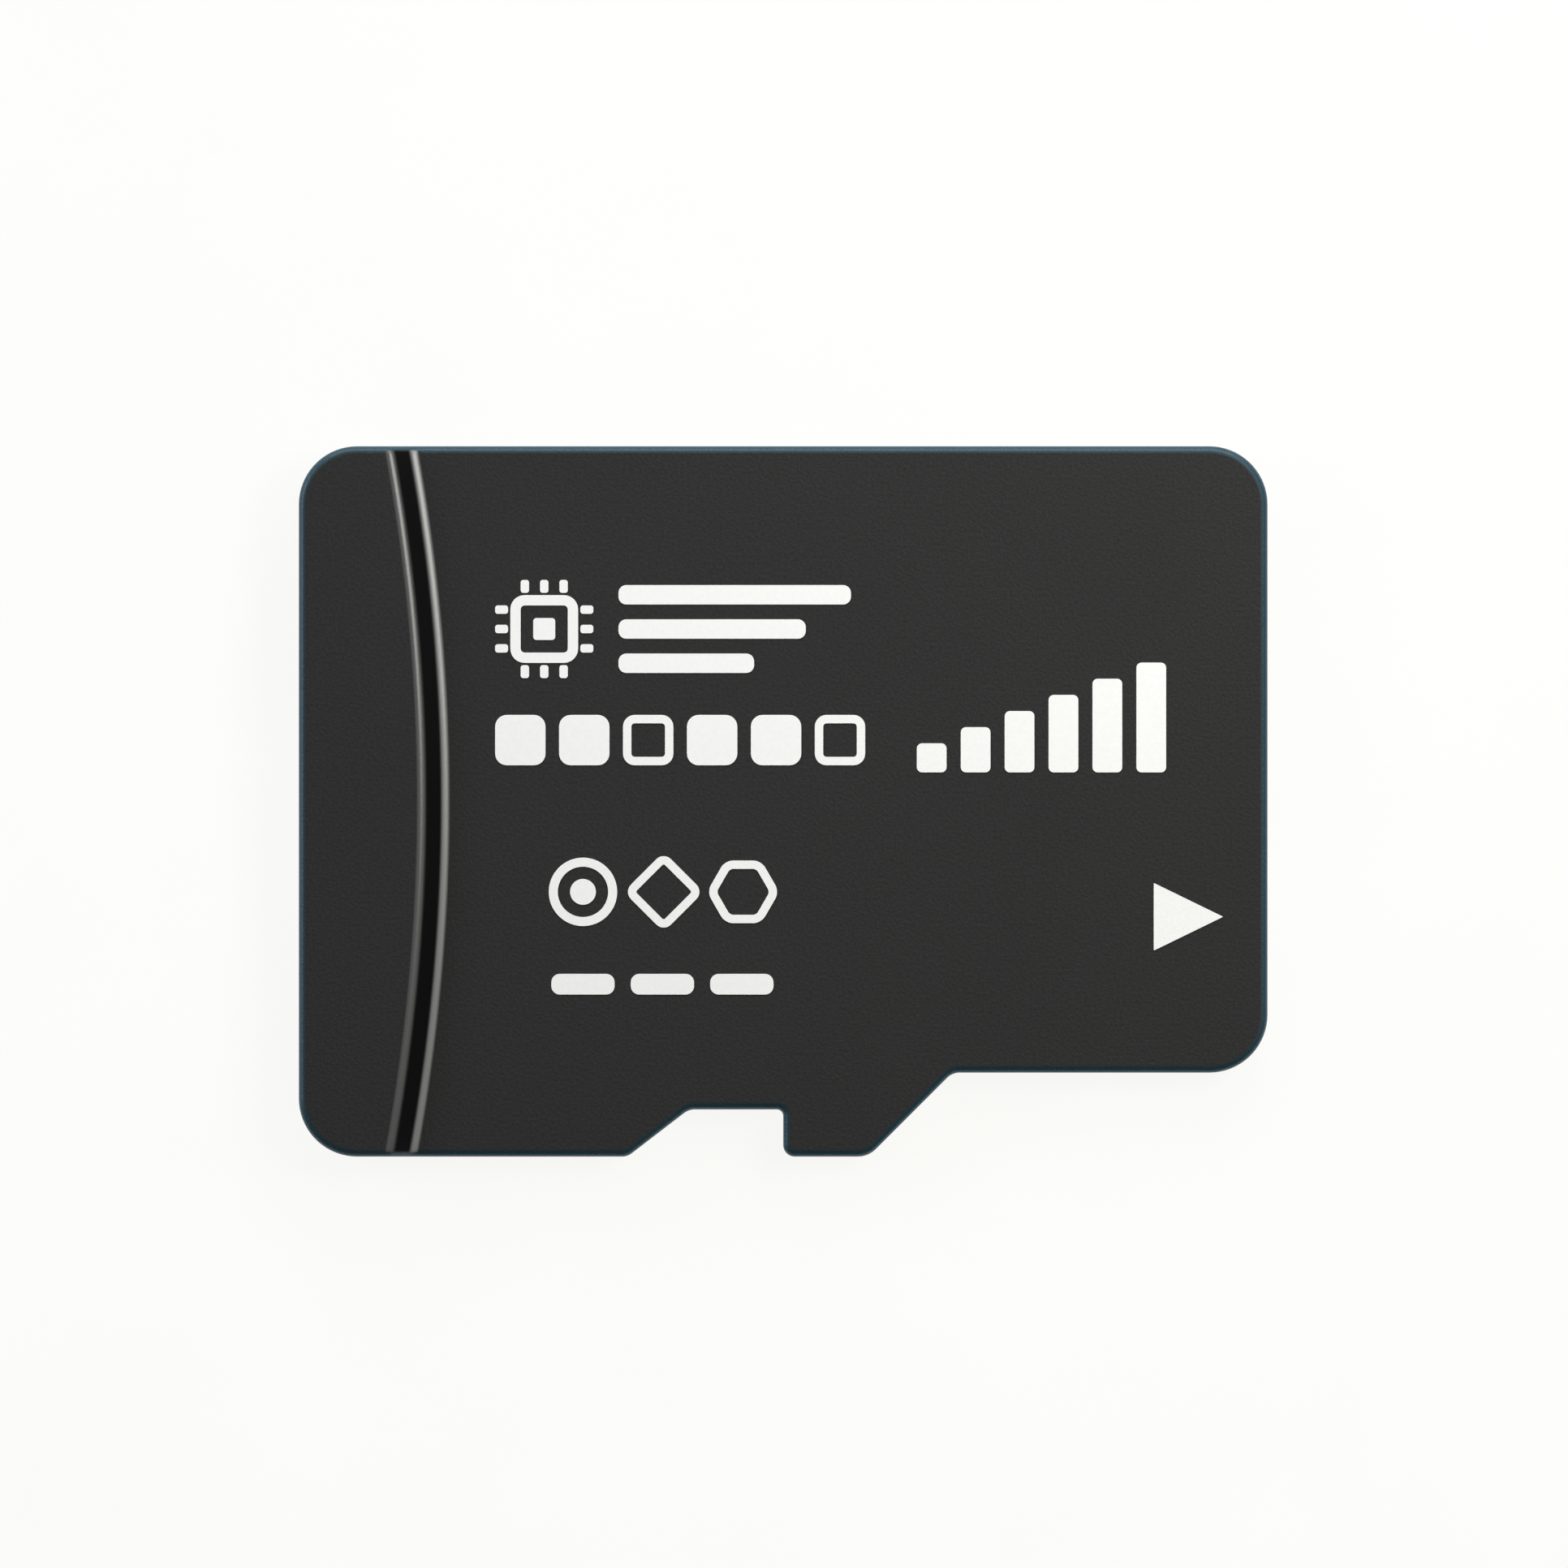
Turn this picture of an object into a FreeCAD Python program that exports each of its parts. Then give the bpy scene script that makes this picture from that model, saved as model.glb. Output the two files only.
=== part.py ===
import FreeCAD, Part
import Sketcher
import os

# A removable memory card, 15 x 11 mm and 0.7 mm thick, built as such cards are built: a laminate
# board carries the chips on its upper face and eight gold contacts under it, bond wires join the
# chips to the board, and a black compound is moulded over all of it.
#
# Millimetres. The origin is under the middle of the card, +X points at the end that goes into the
# socket first, +Y at the straight long side, and +Z up through the label face.

# Counts of what repeats, and the numbers of the contacts that meet their springs first
CONTACT_COUNT = 8
POWER_CONTACTS = (4, 6)
FLASH_WIRE_COUNT = 12
CONTROLLER_WIRE_COUNT = 8

# Driving dimensions: name, millimetres or degrees, and what the size is
SIZES = (
    ("card_length", 15.0, "overall, rear edge to front edge"),
    ("card_width", 11.0, "overall, straight side to notched side"),
    ("face_thickness", 0.7, "underside to label face"),
    ("corner_radius", 0.9, "four outer corners in plan"),
    ("rim_radius", 0.12, "rounding of the upper rim"),
    ("under_radius", 0.06, "rounding of the lower rim"),
    ("step_front", 4.88, "length of the narrow front part"),
    ("step_run", 1.3, "length of the slope out to full width"),
    ("step_depth", 1.3, "how much narrower the front part is"),
    ("tab_length", 1.32, "edge between the slope and the notch"),
    ("notch_floor", 1.46, "length of the notch's floor"),
    ("notch_run", 0.95, "length of the notch's ramp"),
    ("notch_depth", 0.73, "depth of the notch"),
    ("shoulder_radius", 0.4, "corner where the slope meets full width"),
    ("bend_radius", 0.25, "blunt corners of the slope and the ramp"),
    ("tab_radius", 0.18, "tip of the tab at the notch"),
    ("root_radius", 0.1, "inner corner of the notch"),
    ("grip_depth", 1.91, "rear edge to the crest of the thumb grip, at the middle"),
    ("grip_rise", 0.3, "height of the thumb grip above the label face"),
    ("grip_radius", 30.0, "curve of the crest in plan"),
    ("grip_angle", 40.0, "slope of the thumb grip, degrees"),
    ("crest_radius", 0.2, "rounding at the top of that slope"),
    ("foot_radius", 0.25, "rounding at the bottom of that slope"),
    ("board_thickness", 0.2, "laminate board"),
    ("contact_setback", 1.1, "front edge to a signal contact"),
    ("contact_lead", 0.3, "how much nearer the front a power contact starts"),
    ("contact_length", 2.9, "signal contact"),
    ("contact_gap", 0.3, "between neighbouring contacts"),
    ("contact_margin", 0.6, "outermost contacts to the sides of the front part"),
    ("contact_radius", 0.1, "corners of a contact"),
    ("contact_thickness", 0.03, "plated copper"),
    ("contact_recess", 0.03, "underside up to the face of a contact"),
    ("controller_setback", 1.3, "front edge to the controller"),
    ("controller_length", 2.2, "controller, along the card"),
    ("controller_width", 2.8, "controller, across the card"),
    ("controller_thickness", 0.12, "controller"),
    ("bond_aisle", 0.5, "between the bond fingers of the controller and of the memory"),
    ("finger_gap", 0.35, "edge of a chip to its bond fingers on the board"),
    ("flash_rear_margin", 1.6, "rear edge to the lower memory chip"),
    ("flash_side_margin", 1.2, "sides of the front part to the memory chips"),
    ("flash_thickness", 0.09, "one memory chip"),
    ("flash_stagger", 0.4, "how far the upper memory chip is set back"),
    ("pad_inset", 0.12, "edge of a chip to its bond pads"),
    ("wire_thickness", 0.03, "bond wire, drawn square"),
    ("wire_rise", 0.06, "height of a loop above its chip"),
    ("wire_margin", 0.3, "corner of a chip to its first bond wire"),
    ("passive_length", 0.6, "capacitor or resistor"),
    ("passive_width", 0.3, "capacitor or resistor"),
    ("capacitor_height", 0.3, "capacitor"),
    ("resistor_height", 0.2, "resistor"),
    ("cap_length", 0.15, "metal end of a capacitor or resistor"),
    ("cap_plating", 0.015, "how far a metal end stands proud of its block"),
    ("passive_clearance", 0.5, "controller to the nearest capacitor"),
    ("passive_spacing", 0.3, "between neighbours in a row"),
)

# Places worked out from the driving dimensions
PLACES = (
    ("front", "card_length / 2"),
    ("rear", "-front"),
    ("side", "card_width / 2"),
    ("front_width", "card_width - step_depth"),
    ("front_side", "side - front_width"),
    ("middle", "side - front_width / 2"),
    ("moulding_height", "face_thickness + grip_rise - board_thickness"),
    ("grip_axis", "rear + grip_depth - grip_radius"),
    ("grip_foot", "grip_radius + grip_rise / tan(grip_angle)"),
    ("face_level", "face_thickness - board_thickness"),
    ("beyond_front", "grip_radius + card_length + card_width"),
    ("cut_height", "2 * grip_rise"),
    ("cut_lean", "cut_height / tan(grip_angle)"),
    ("contact_room", f"front_width - 2 * contact_margin - {CONTACT_COUNT - 1} * contact_gap"),
    ("contact_width", f"contact_room / {CONTACT_COUNT}"),
    ("contact_pitch", "contact_width + contact_gap"),
    ("contact_row", f"{CONTACT_COUNT - 1} * contact_pitch"),
    ("contact_side", "front_side + contact_margin"),
    ("contact_rear", "front - contact_setback - contact_length"),
    ("power_length", "contact_length + contact_lead"),
    ("power_side", f"contact_side + {POWER_CONTACTS[0] - 1} * contact_pitch"),
    ("power_row", f"{POWER_CONTACTS[1] - POWER_CONTACTS[0]} * contact_pitch"),
    ("window_depth", "contact_recess + contact_thickness"),
    ("controller_rear", "front - controller_setback - controller_length"),
    ("controller_front", "controller_rear + controller_length"),
    ("controller_side", "middle - controller_width / 2"),
    ("controller_top", "board_thickness + controller_thickness"),
    ("flash_front", "controller_rear - bond_aisle - 2 * finger_gap"),
    ("flash_rear", "rear + flash_rear_margin"),
    ("flash_length", "flash_front - flash_rear"),
    ("flash_width", "front_width - 2 * flash_side_margin"),
    ("flash_side", "middle - flash_width / 2"),
    ("upper_rear", "flash_rear - flash_stagger"),
    ("lower_top", "board_thickness + flash_thickness"),
    ("upper_top", "lower_top + flash_thickness"),
    ("lower_pads", "flash_front - pad_inset"),
    ("upper_pads", "lower_pads - flash_stagger"),
    ("front_pads", "controller_front - pad_inset"),
    ("rear_pads", "controller_rear + pad_inset"),
    ("step_reach", "2 * pad_inset"),
    ("board_reach", "pad_inset + finger_gap"),
    ("flash_row", "flash_width - 2 * wire_margin"),
    ("flash_row_start", "flash_side + wire_margin"),
    ("controller_row", "controller_width - 2 * wire_margin"),
    ("controller_row_start", "controller_side + wire_margin"),
    ("controller_row_end", "controller_row_start + controller_row"),
    ("passive_rear", "(controller_rear + controller_front - passive_length) / 2"),
    ("passive_pitch", "passive_width + passive_spacing"),
    ("straight_row", "middle + controller_width / 2 + passive_clearance"),
    ("notched_row", "middle - controller_width / 2 - passive_clearance - passive_width"),
    ("core_length", "passive_length - 2 * cap_length"),
    ("core_width", "passive_width - 2 * cap_plating"),
    ("capacitor_core", "capacitor_height - 2 * cap_plating"),
    ("resistor_core", "resistor_height - 2 * cap_plating"),
)

doc = FreeCAD.newDocument("memory_card")
sheet = doc.addObject("Spreadsheet::Sheet", "Sizes")

# A sketch's own origin, half a turn in degrees, and how near two points count as one
ORIGIN = (-1, 1)
HALF_TURN = 180.0
NEARBY = 1e-4


def fill_sheet():
    """Write the driving dimensions, then the places worked out from them, each under its name."""
    for row, (name, value, meaning) in enumerate(SIZES, start=1):
        sheet.set(f"A{row}", meaning)
        sheet.set(f"B{row}", str(value))
        sheet.setAlias(f"B{row}", name)
    for row, (name, formula) in enumerate(PLACES, start=len(SIZES) + 1):
        sheet.set(f"B{row}", f"={formula}")
        sheet.setAlias(f"B{row}", name)
    doc.recompute()


def size(name):
    return float(getattr(sheet, name))


def bind(thing, **cells):
    """Tie properties, written with __ for a dot, to cells of the sheet."""
    for name, cell in cells.items():
        thing.setExpression(name.replace("__", "."), f"Sizes.{cell}")


def bind_place(thing, x, y, z):
    """Tie a piece's position to the sheet; each is a cell, or a formula on cells."""
    for axis, formula in zip("xyz", (x, y, z)):
        thing.setExpression(f"Placement.Base.{axis}", formula)


def new_body(label):
    body = doc.addObject("PartDesign::Body", label)
    body.Label = label
    return body


def of_origin(body, role):
    return next(item for item in body.Origin.OriginFeatures if item.Role == role)


def new_sketch(body, name, plane="XY_Plane"):
    sketch = body.newObject("Sketcher::SketchObject", name)
    sketch.AttachmentSupport = [(of_origin(body, plane), "")]
    sketch.MapMode = "FlatFace"
    return sketch


def from_sketch(body, kind, name, sketch, **cells):
    """Add a feature such as a Pad or a Pocket that takes its form from a sketch."""
    feature = body.newObject(f"PartDesign::{kind}", name)
    feature.Profile = sketch
    bind(feature, **cells)
    doc.recompute()
    return feature


def round_edges(body, name, edges, radius):
    """Round some edges of what the body is so far."""
    base = body.Tip
    fillet = body.newObject("PartDesign::Fillet", name)
    fillet.Base = (base, edges)
    bind(fillet, Radius=radius)
    doc.recompute()


def repeat(body, name, feature, spread, count):
    """Copy a feature along Y, evenly over the length in the cell named by spread."""
    pattern = body.newObject("PartDesign::LinearPattern", name)
    pattern.Originals = [feature]
    pattern.Direction = (of_origin(body, "Y_Axis"), [""])
    pattern.Occurrences = count
    bind(pattern, Length=spread)
    body.Tip = pattern
    doc.recompute()


def draw_loop(sketch, corners):
    """Draw closed straight edges; edge n runs from corner n to the next."""
    points = [FreeCAD.Vector(x, y, 0) for x, y in corners]
    for start, end in zip(points, points[1:] + points[:1]):
        sketch.addGeometry(Part.LineSegment(start, end))
    for edge in range(len(points)):
        following = (edge + 1) % len(points)
        sketch.addConstraint(Sketcher.Constraint("Coincident", edge, 2, following, 1))


def keep_level(sketch, level, upright):
    for edge in level:
        sketch.addConstraint(Sketcher.Constraint("Horizontal", edge))
    for edge in upright:
        sketch.addConstraint(Sketcher.Constraint("Vertical", edge))


def measure(sketch, axis, cell, start, end):
    """Dimension the way from one (edge, end) point to another along X or Y, tied to a cell."""
    kind = f"Distance{axis}"
    row = sketch.addConstraint(Sketcher.Constraint(kind, *start, *end, size(cell)))
    sketch.setExpression(f"Constraints[{row}]", f"Sizes.{cell}")


def draw_rectangle(sketch, length, width, left=None, bottom=None):
    """Draw a rectangle of two cells' size, at the origin or with a corner placed by two cells."""
    x = size(left) if left else 0.0
    y = size(bottom) if bottom else 0.0
    right = x + size(length)
    top = y + size(width)
    draw_loop(sketch, ((x, y), (right, y), (right, top), (x, top)))
    keep_level(sketch, level=(0, 2), upright=(1, 3))
    measure(sketch, "X", length, (0, 1), (0, 2))
    measure(sketch, "Y", width, (1, 1), (1, 2))
    if left:
        measure(sketch, "X", left, ORIGIN, (0, 1))
        measure(sketch, "Y", bottom, ORIGIN, (0, 1))
    else:
        sketch.addConstraint(Sketcher.Constraint("Coincident", 0, 1, *ORIGIN))


def upright_edges(shape, places):
    """Names of the edges that stand on the given places of the plan."""
    found = []
    for number, edge in enumerate(shape.Edges, start=1):
        ends = [vertex.Point for vertex in edge.Vertexes]
        across = [FreeCAD.Vector(end.x, end.y, 0) for end in ends]
        if len(ends) < 2 or across[0].distanceToPoint(across[1]) > NEARBY:
            continue
        if any(across[0].distanceToPoint(FreeCAD.Vector(*place, 0)) < NEARBY for place in places):
            found.append(f"Edge{number}")
    return found


def rim_edges(shape, upper):
    """Names of the edges where the side walls meet the faces above, or below, them."""
    found = []
    for number, edge in enumerate(shape.Edges, start=1):
        faces = shape.ancestorsOfType(edge, Part.Face)
        tilts = [face.normalAt(*face.Surface.parameter(edge.CenterOfMass)).z for face in faces]
        walls = [tilt for tilt in tilts if abs(tilt) < NEARBY]
        others = [tilt for tilt in tilts if abs(tilt) >= NEARBY]
        if len(walls) == 1 and len(others) == 1 and (others[0] > 0) == upper:
            found.append(f"Edge{number}")
    return found


def arched_edges(shape, height):
    """Names of the edges that curve with the thumb grip at a height."""
    found = []
    widest = size("grip_radius") - NEARBY
    for number, edge in enumerate(shape.Edges, start=1):
        level = all(abs(vertex.Z - height) < NEARBY for vertex in edge.Vertexes)
        if level and isinstance(edge.Curve, Part.Circle) and edge.Curve.Radius > widest:
            found.append(f"Edge{number}")
    return found


def outline_corners():
    """The card's plan with sharp corners, clockwise from the rear of the straight side."""
    slope_top = size("front") - size("step_front")
    slope_bottom = slope_top - size("step_run")
    wall = slope_bottom - size("tab_length")
    ramp_top = wall - size("notch_floor")
    low = -size("side")
    floor = low + size("notch_depth")
    return {
        "rear_straight": (size("rear"), size("side")),
        "front_straight": (size("front"), size("side")),
        "front_narrow": (size("front"), size("front_side")),
        "slope_top": (slope_top, size("front_side")),
        "slope_bottom": (slope_bottom, low),
        "tab_tip": (wall, low),
        "notch_root": (wall, floor),
        "ramp_top": (ramp_top, floor),
        "ramp_bottom": (ramp_top - size("notch_run"), low),
        "rear_notched": (size("rear"), low),
    }


# Which plan corners have which radius
PLAN_ROUNDING = (
    ("corner_radius", ("rear_straight", "front_straight", "front_narrow", "rear_notched")),
    ("shoulder_radius", ("slope_bottom",)),
    ("bend_radius", ("slope_top", "ramp_top", "ramp_bottom")),
    ("tab_radius", ("tab_tip",)),
    ("root_radius", ("notch_root",)),
)


def card_slab(label, thickness):
    """A body with the card's plan and rounded plan corners, as thick as a cell says."""
    body = new_body(label)
    sketch = new_sketch(body, f"{label}_plan")
    corners = outline_corners()
    draw_loop(sketch, corners.values())
    straight, front, narrow, slope, tab, wall, floor, ramp, notched, rear = range(len(corners))
    keep_level(sketch, level=(straight, narrow, tab, floor, notched), upright=(front, wall, rear))
    sketch.addConstraint(Sketcher.Constraint("Horizontal", tab, 2, rear, 1))
    measure(sketch, "X", "front", ORIGIN, (front, 1))
    measure(sketch, "Y", "side", ORIGIN, (front, 1))
    measure(sketch, "X", "card_length", (straight, 1), (straight, 2))
    measure(sketch, "Y", "card_width", (rear, 1), (rear, 2))
    measure(sketch, "X", "step_front", (narrow, 2), (narrow, 1))
    measure(sketch, "X", "step_run", (slope, 2), (slope, 1))
    measure(sketch, "Y", "step_depth", (slope, 2), (slope, 1))
    measure(sketch, "X", "tab_length", (tab, 2), (tab, 1))
    measure(sketch, "Y", "notch_depth", (wall, 1), (wall, 2))
    measure(sketch, "X", "notch_floor", (floor, 2), (floor, 1))
    measure(sketch, "X", "notch_run", (ramp, 2), (ramp, 1))
    from_sketch(body, "Pad", f"{label}_slab", sketch, Length=thickness)
    for radius, names in PLAN_ROUNDING:
        edges = upright_edges(body.Shape, [corners[name] for name in names])
        round_edges(body, f"{label}_{radius}", edges, radius)
    return body


def moulding():
    """The moulded cover before its inside is taken out: slab, thumb grip and rounded rim.

    The label face is turned down to its height about an upright axis far behind the card, which
    leaves the thumb grip standing with its arched slope.
    """
    body = card_slab("moulding", "moulding_height")
    bind(body, Placement__Base__z="board_thickness")
    whole = body.Shape.Volume
    sketch = new_sketch(body, "grip_profile", "XZ_Plane")
    bind(sketch, AttachmentOffset__Base__x="grip_axis")
    face = size("face_level")
    top = face + size("cut_height")
    far = size("beyond_front")
    over_grip = size("grip_foot") - size("cut_lean")
    draw_loop(sketch, ((size("grip_foot"), face), (far, face), (far, top), (over_grip, top)))
    keep_level(sketch, level=(0, 2), upright=(1,))
    measure(sketch, "X", "grip_foot", ORIGIN, (0, 1))
    measure(sketch, "Y", "face_level", ORIGIN, (0, 1))
    measure(sketch, "X", "beyond_front", ORIGIN, (1, 1))
    measure(sketch, "Y", "cut_height", (1, 1), (1, 2))
    measure(sketch, "X", "cut_lean", (3, 1), (3, 2))
    groove = from_sketch(body, "Groove", "label_face", sketch)
    groove.ReferenceAxis = (sketch, ["V_Axis"])
    groove.Angle = HALF_TURN
    groove.Midplane = True
    doc.recompute()
    if groove.Shape.Volume > whole - NEARBY:
        raise RuntimeError("the label face was not cut")
    crest = arched_edges(groove.Shape, size("moulding_height"))
    round_edges(body, "grip_crest", crest, "crest_radius")
    hollow = arched_edges(body.Tip.Shape, face)
    round_edges(body, "grip_hollow", hollow, "foot_radius")
    round_edges(body, "upper_rim", rim_edges(body.Tip.Shape, upper=True), "rim_radius")
    return body


def window_corners():
    """Plan corners of the eight contact windows."""
    corners = []
    for number in range(1, CONTACT_COUNT + 1):
        length = size("power_length" if number in POWER_CONTACTS else "contact_length")
        low = size("contact_side") + (number - 1) * size("contact_pitch")
        for x in (size("contact_rear"), size("contact_rear") + length):
            for y in (low, low + size("contact_width")):
                corners.append((x, y))
    return corners


def substrate_board():
    """The laminate board, with a window in its underside for each contact."""
    body = card_slab("substrate_board", "board_thickness")
    round_edges(body, "lower_rim", rim_edges(body.Tip.Shape, upper=False), "under_radius")
    windows = (
        ("signal", "contact_length", "contact_side", "contact_row", CONTACT_COUNT),
        ("power", "power_length", "power_side", "power_row", len(POWER_CONTACTS)),
    )
    for name, length, side, row, count in windows:
        whole = body.Tip.Shape.Volume
        sketch = new_sketch(body, f"{name}_plan")
        draw_rectangle(sketch, length, "contact_width", "contact_rear", side)
        pocket = from_sketch(body, "Pocket", f"{name}_window", sketch, Length="window_depth")
        pocket.Reversed = True
        doc.recompute()
        repeat(body, f"{name}_windows", pocket, row, count)
        if body.Tip.Shape.Volume > whole - NEARBY:
            raise RuntimeError(f"the {name} windows were not cut")
    corners = upright_edges(body.Tip.Shape, window_corners())
    round_edges(body, "window_corners", corners, "contact_radius")
    return body


def contact_pad(number):
    """One gold-plated contact, seated in its window."""
    length = "power_length" if number in POWER_CONTACTS else "contact_length"
    label = f"contact_pad_{number}"
    body = new_body(label)
    sketch = new_sketch(body, f"{label}_plan")
    draw_rectangle(sketch, length, "contact_width")
    from_sketch(body, "Pad", f"{label}_plate", sketch, Length="contact_thickness")
    ends = (0.0, size(length))
    sides = (0.0, size("contact_width"))
    corners = upright_edges(body.Tip.Shape, [(x, y) for x in ends for y in sides])
    round_edges(body, f"{label}_corners", corners, "contact_radius")
    side = f"Sizes.contact_side + {number - 1} * Sizes.contact_pitch"
    bind_place(body, "Sizes.contact_rear", side, "Sizes.contact_recess")
    return body


def block(label, length, width, height, place):
    """A plain block, such as a sawn silicon chip, of three cells' size at a place."""
    box = doc.addObject("Part::Box", label)
    box.Label = label
    bind(box, Length=length, Width=width, Height=height)
    bind_place(box, *place)
    return box


def silicon_chips():
    """The controller, and the two memory chips stacked like a stair so that both can be bonded."""
    board = "Sizes.board_thickness"
    controller = block(
        "controller_die", "controller_length", "controller_width", "controller_thickness",
        ("Sizes.controller_rear", "Sizes.controller_side", board),
    )
    lower = block(
        "flash_die_lower", "flash_length", "flash_width", "flash_thickness",
        ("Sizes.flash_rear", "Sizes.flash_side", board),
    )
    upper = block(
        "flash_die_upper", "flash_length", "flash_width", "flash_thickness",
        ("Sizes.upper_rear", "Sizes.flash_side", "Sizes.lower_top"),
    )
    return [controller, lower, upper]


def passive(kind, number, side):
    """A capacitor or resistor: a ceramic block between two metal ends that stand a little proud."""
    label = f"{kind}_{number}"
    height = f"{kind}_height"
    board = "Sizes.board_thickness"
    rear = "Sizes.passive_rear"
    far_end = "Sizes.passive_rear + Sizes.passive_length - Sizes.cap_length"
    inset = "Sizes.cap_plating"
    core = (f"{rear} + Sizes.cap_length", f"{side} + {inset}", f"{board} + {inset}")
    pieces = [
        block(f"{label}_rear_end", "cap_length", "passive_width", height, (rear, side, board)),
        block(f"{label}_front_end", "cap_length", "passive_width", height, (far_end, side, board)),
        block(f"{label}_core", "core_length", "core_width", f"{kind}_core", core),
    ]
    whole = doc.addObject("Part::MultiFuse", label)
    whole.Shapes = pieces
    whole.Label = label
    return whole


def passives():
    """Two rows of capacitors and resistors, one on each side of the controller."""
    rows = (
        ("Sizes.straight_row +", (("capacitor", 1), ("capacitor", 2), ("resistor", 1))),
        ("Sizes.notched_row -", (("capacitor", 3), ("capacitor", 4), ("resistor", 2))),
    )
    made = []
    for first, pieces in rows:
        for place, (kind, number) in enumerate(pieces):
            made.append(passive(kind, number, f"{first} {place} * Sizes.passive_pitch"))
    return made


def bond_wires(label, place, reach, drop, row, count, turn=0.0):
    """A row of bond wires, each up from its chip, level past the edge and down to the next face.

    The body's own origin is the foot of the first wire on its chip, and X runs the way the wires go.
    """
    body = new_body(label)
    body.AllowCompound = True
    route = new_sketch(body, f"{label}_route", "XZ_Plane")
    rise = size("wire_rise")
    far = size(reach)
    points = ((0.0, 0.0), (0.0, rise), (far, rise), (far, -size(drop)))
    vectors = [FreeCAD.Vector(x, z, 0) for x, z in points]
    for start, end in zip(vectors, vectors[1:]):
        route.addGeometry(Part.LineSegment(start, end))
    route.addConstraint(Sketcher.Constraint("Coincident", 0, 1, *ORIGIN))
    for edge in (0, 1):
        route.addConstraint(Sketcher.Constraint("Coincident", edge, 2, edge + 1, 1))
    keep_level(route, level=(1,), upright=(0, 2))
    measure(route, "Y", "wire_rise", (0, 1), (0, 2))
    measure(route, "X", reach, (1, 1), (1, 2))
    measure(route, "Y", drop, (2, 2), ORIGIN)
    section = new_sketch(body, f"{label}_section")
    half = size("wire_thickness") / 2
    draw_loop(section, ((-half, -half), (half, -half), (half, half), (-half, half)))
    keep_level(section, level=(0, 2), upright=(1, 3))
    section.addConstraint(Sketcher.Constraint("Symmetric", 0, 1, 1, 2, *ORIGIN))
    measure(section, "X", "wire_thickness", (0, 1), (0, 2))
    measure(section, "Y", "wire_thickness", (1, 1), (1, 2))
    doc.recompute()
    loop = body.newObject("PartDesign::AdditivePipe", f"{label}_loop")
    loop.Profile = section
    loop.Spine = (route, ["Edge1", "Edge2", "Edge3"])
    loop.Transition = "Right corner"
    doc.recompute()
    repeat(body, f"{label}_row", loop, row, count)
    body.Placement.Rotation = FreeCAD.Rotation(FreeCAD.Vector(0, 0, 1), turn)
    bind_place(body, *(f"Sizes.{cell}" for cell in place))
    return body


def wiring():
    """Upper memory chip to lower, lower to board, and the controller to board at both ends."""
    flash = ("flash_row", FLASH_WIRE_COUNT)
    controller = ("controller_row", CONTROLLER_WIRE_COUNT)
    upper_foot = ("upper_pads", "flash_row_start", "upper_top")
    lower_foot = ("lower_pads", "flash_row_start", "lower_top")
    front_foot = ("front_pads", "controller_row_start", "controller_top")
    rear_foot = ("rear_pads", "controller_row_end", "controller_top")
    board = "board_reach"
    thick = "controller_thickness"
    return [
        bond_wires("flash_upper_wires", upper_foot, "step_reach", "flash_thickness", *flash),
        bond_wires("flash_lower_wires", lower_foot, board, "flash_thickness", *flash),
        bond_wires("controller_front_wires", front_foot, board, thick, *controller),
        bond_wires("controller_rear_wires", rear_foot, board, thick, *controller, turn=HALF_TURN),
    ]


def moulded_body(inside):
    """The compound fills everything round the chips, wires and small parts."""
    filled = doc.addObject("Part::MultiFuse", "encapsulated")
    filled.Shapes = inside
    cover = doc.addObject("Part::Cut", "moulded_body")
    cover.Base = moulding()
    cover.Tool = filled
    cover.Label = "moulded_body"
    return cover


def write_parts(pieces):
    """Check every object, then write each piece under its own name."""
    doc.recompute()
    failed = [item.Name for item in doc.Objects if {"Invalid", "Error"} & set(item.State)]
    if failed:
        raise RuntimeError(f"not built: {failed}")
    for piece in pieces:
        if piece.Shape.isNull() or not piece.Shape.isValid():
            raise RuntimeError(f"{piece.Label} has no valid shape")
    os.makedirs("parts", exist_ok=True)
    for piece in pieces:
        piece.Shape.exportStep(f"parts/{piece.Label}.step")
        print(f"{piece.Label}: {len(piece.Shape.Solids)} solid, {piece.Shape.Volume:.4f} mm3")


fill_sheet()
inside = [*silicon_chips(), *passives(), *wiring()]
contacts = [contact_pad(number) for number in range(1, CONTACT_COUNT + 1)]
write_parts([moulded_body(inside), substrate_board(), *contacts, *inside])
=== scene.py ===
# %% [markdown]
# # A small memory card, dressed for its picture
#
# The solids of the card come from the drawing office as a fixed frame: the moulded body, the board
# under it, the contacts and everything sealed inside. Here each of them gets its real finish, and
# the white print is laid on the label face. Nothing that is loaded is moved or reshaped.

# %% Load the frame
import math

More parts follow.
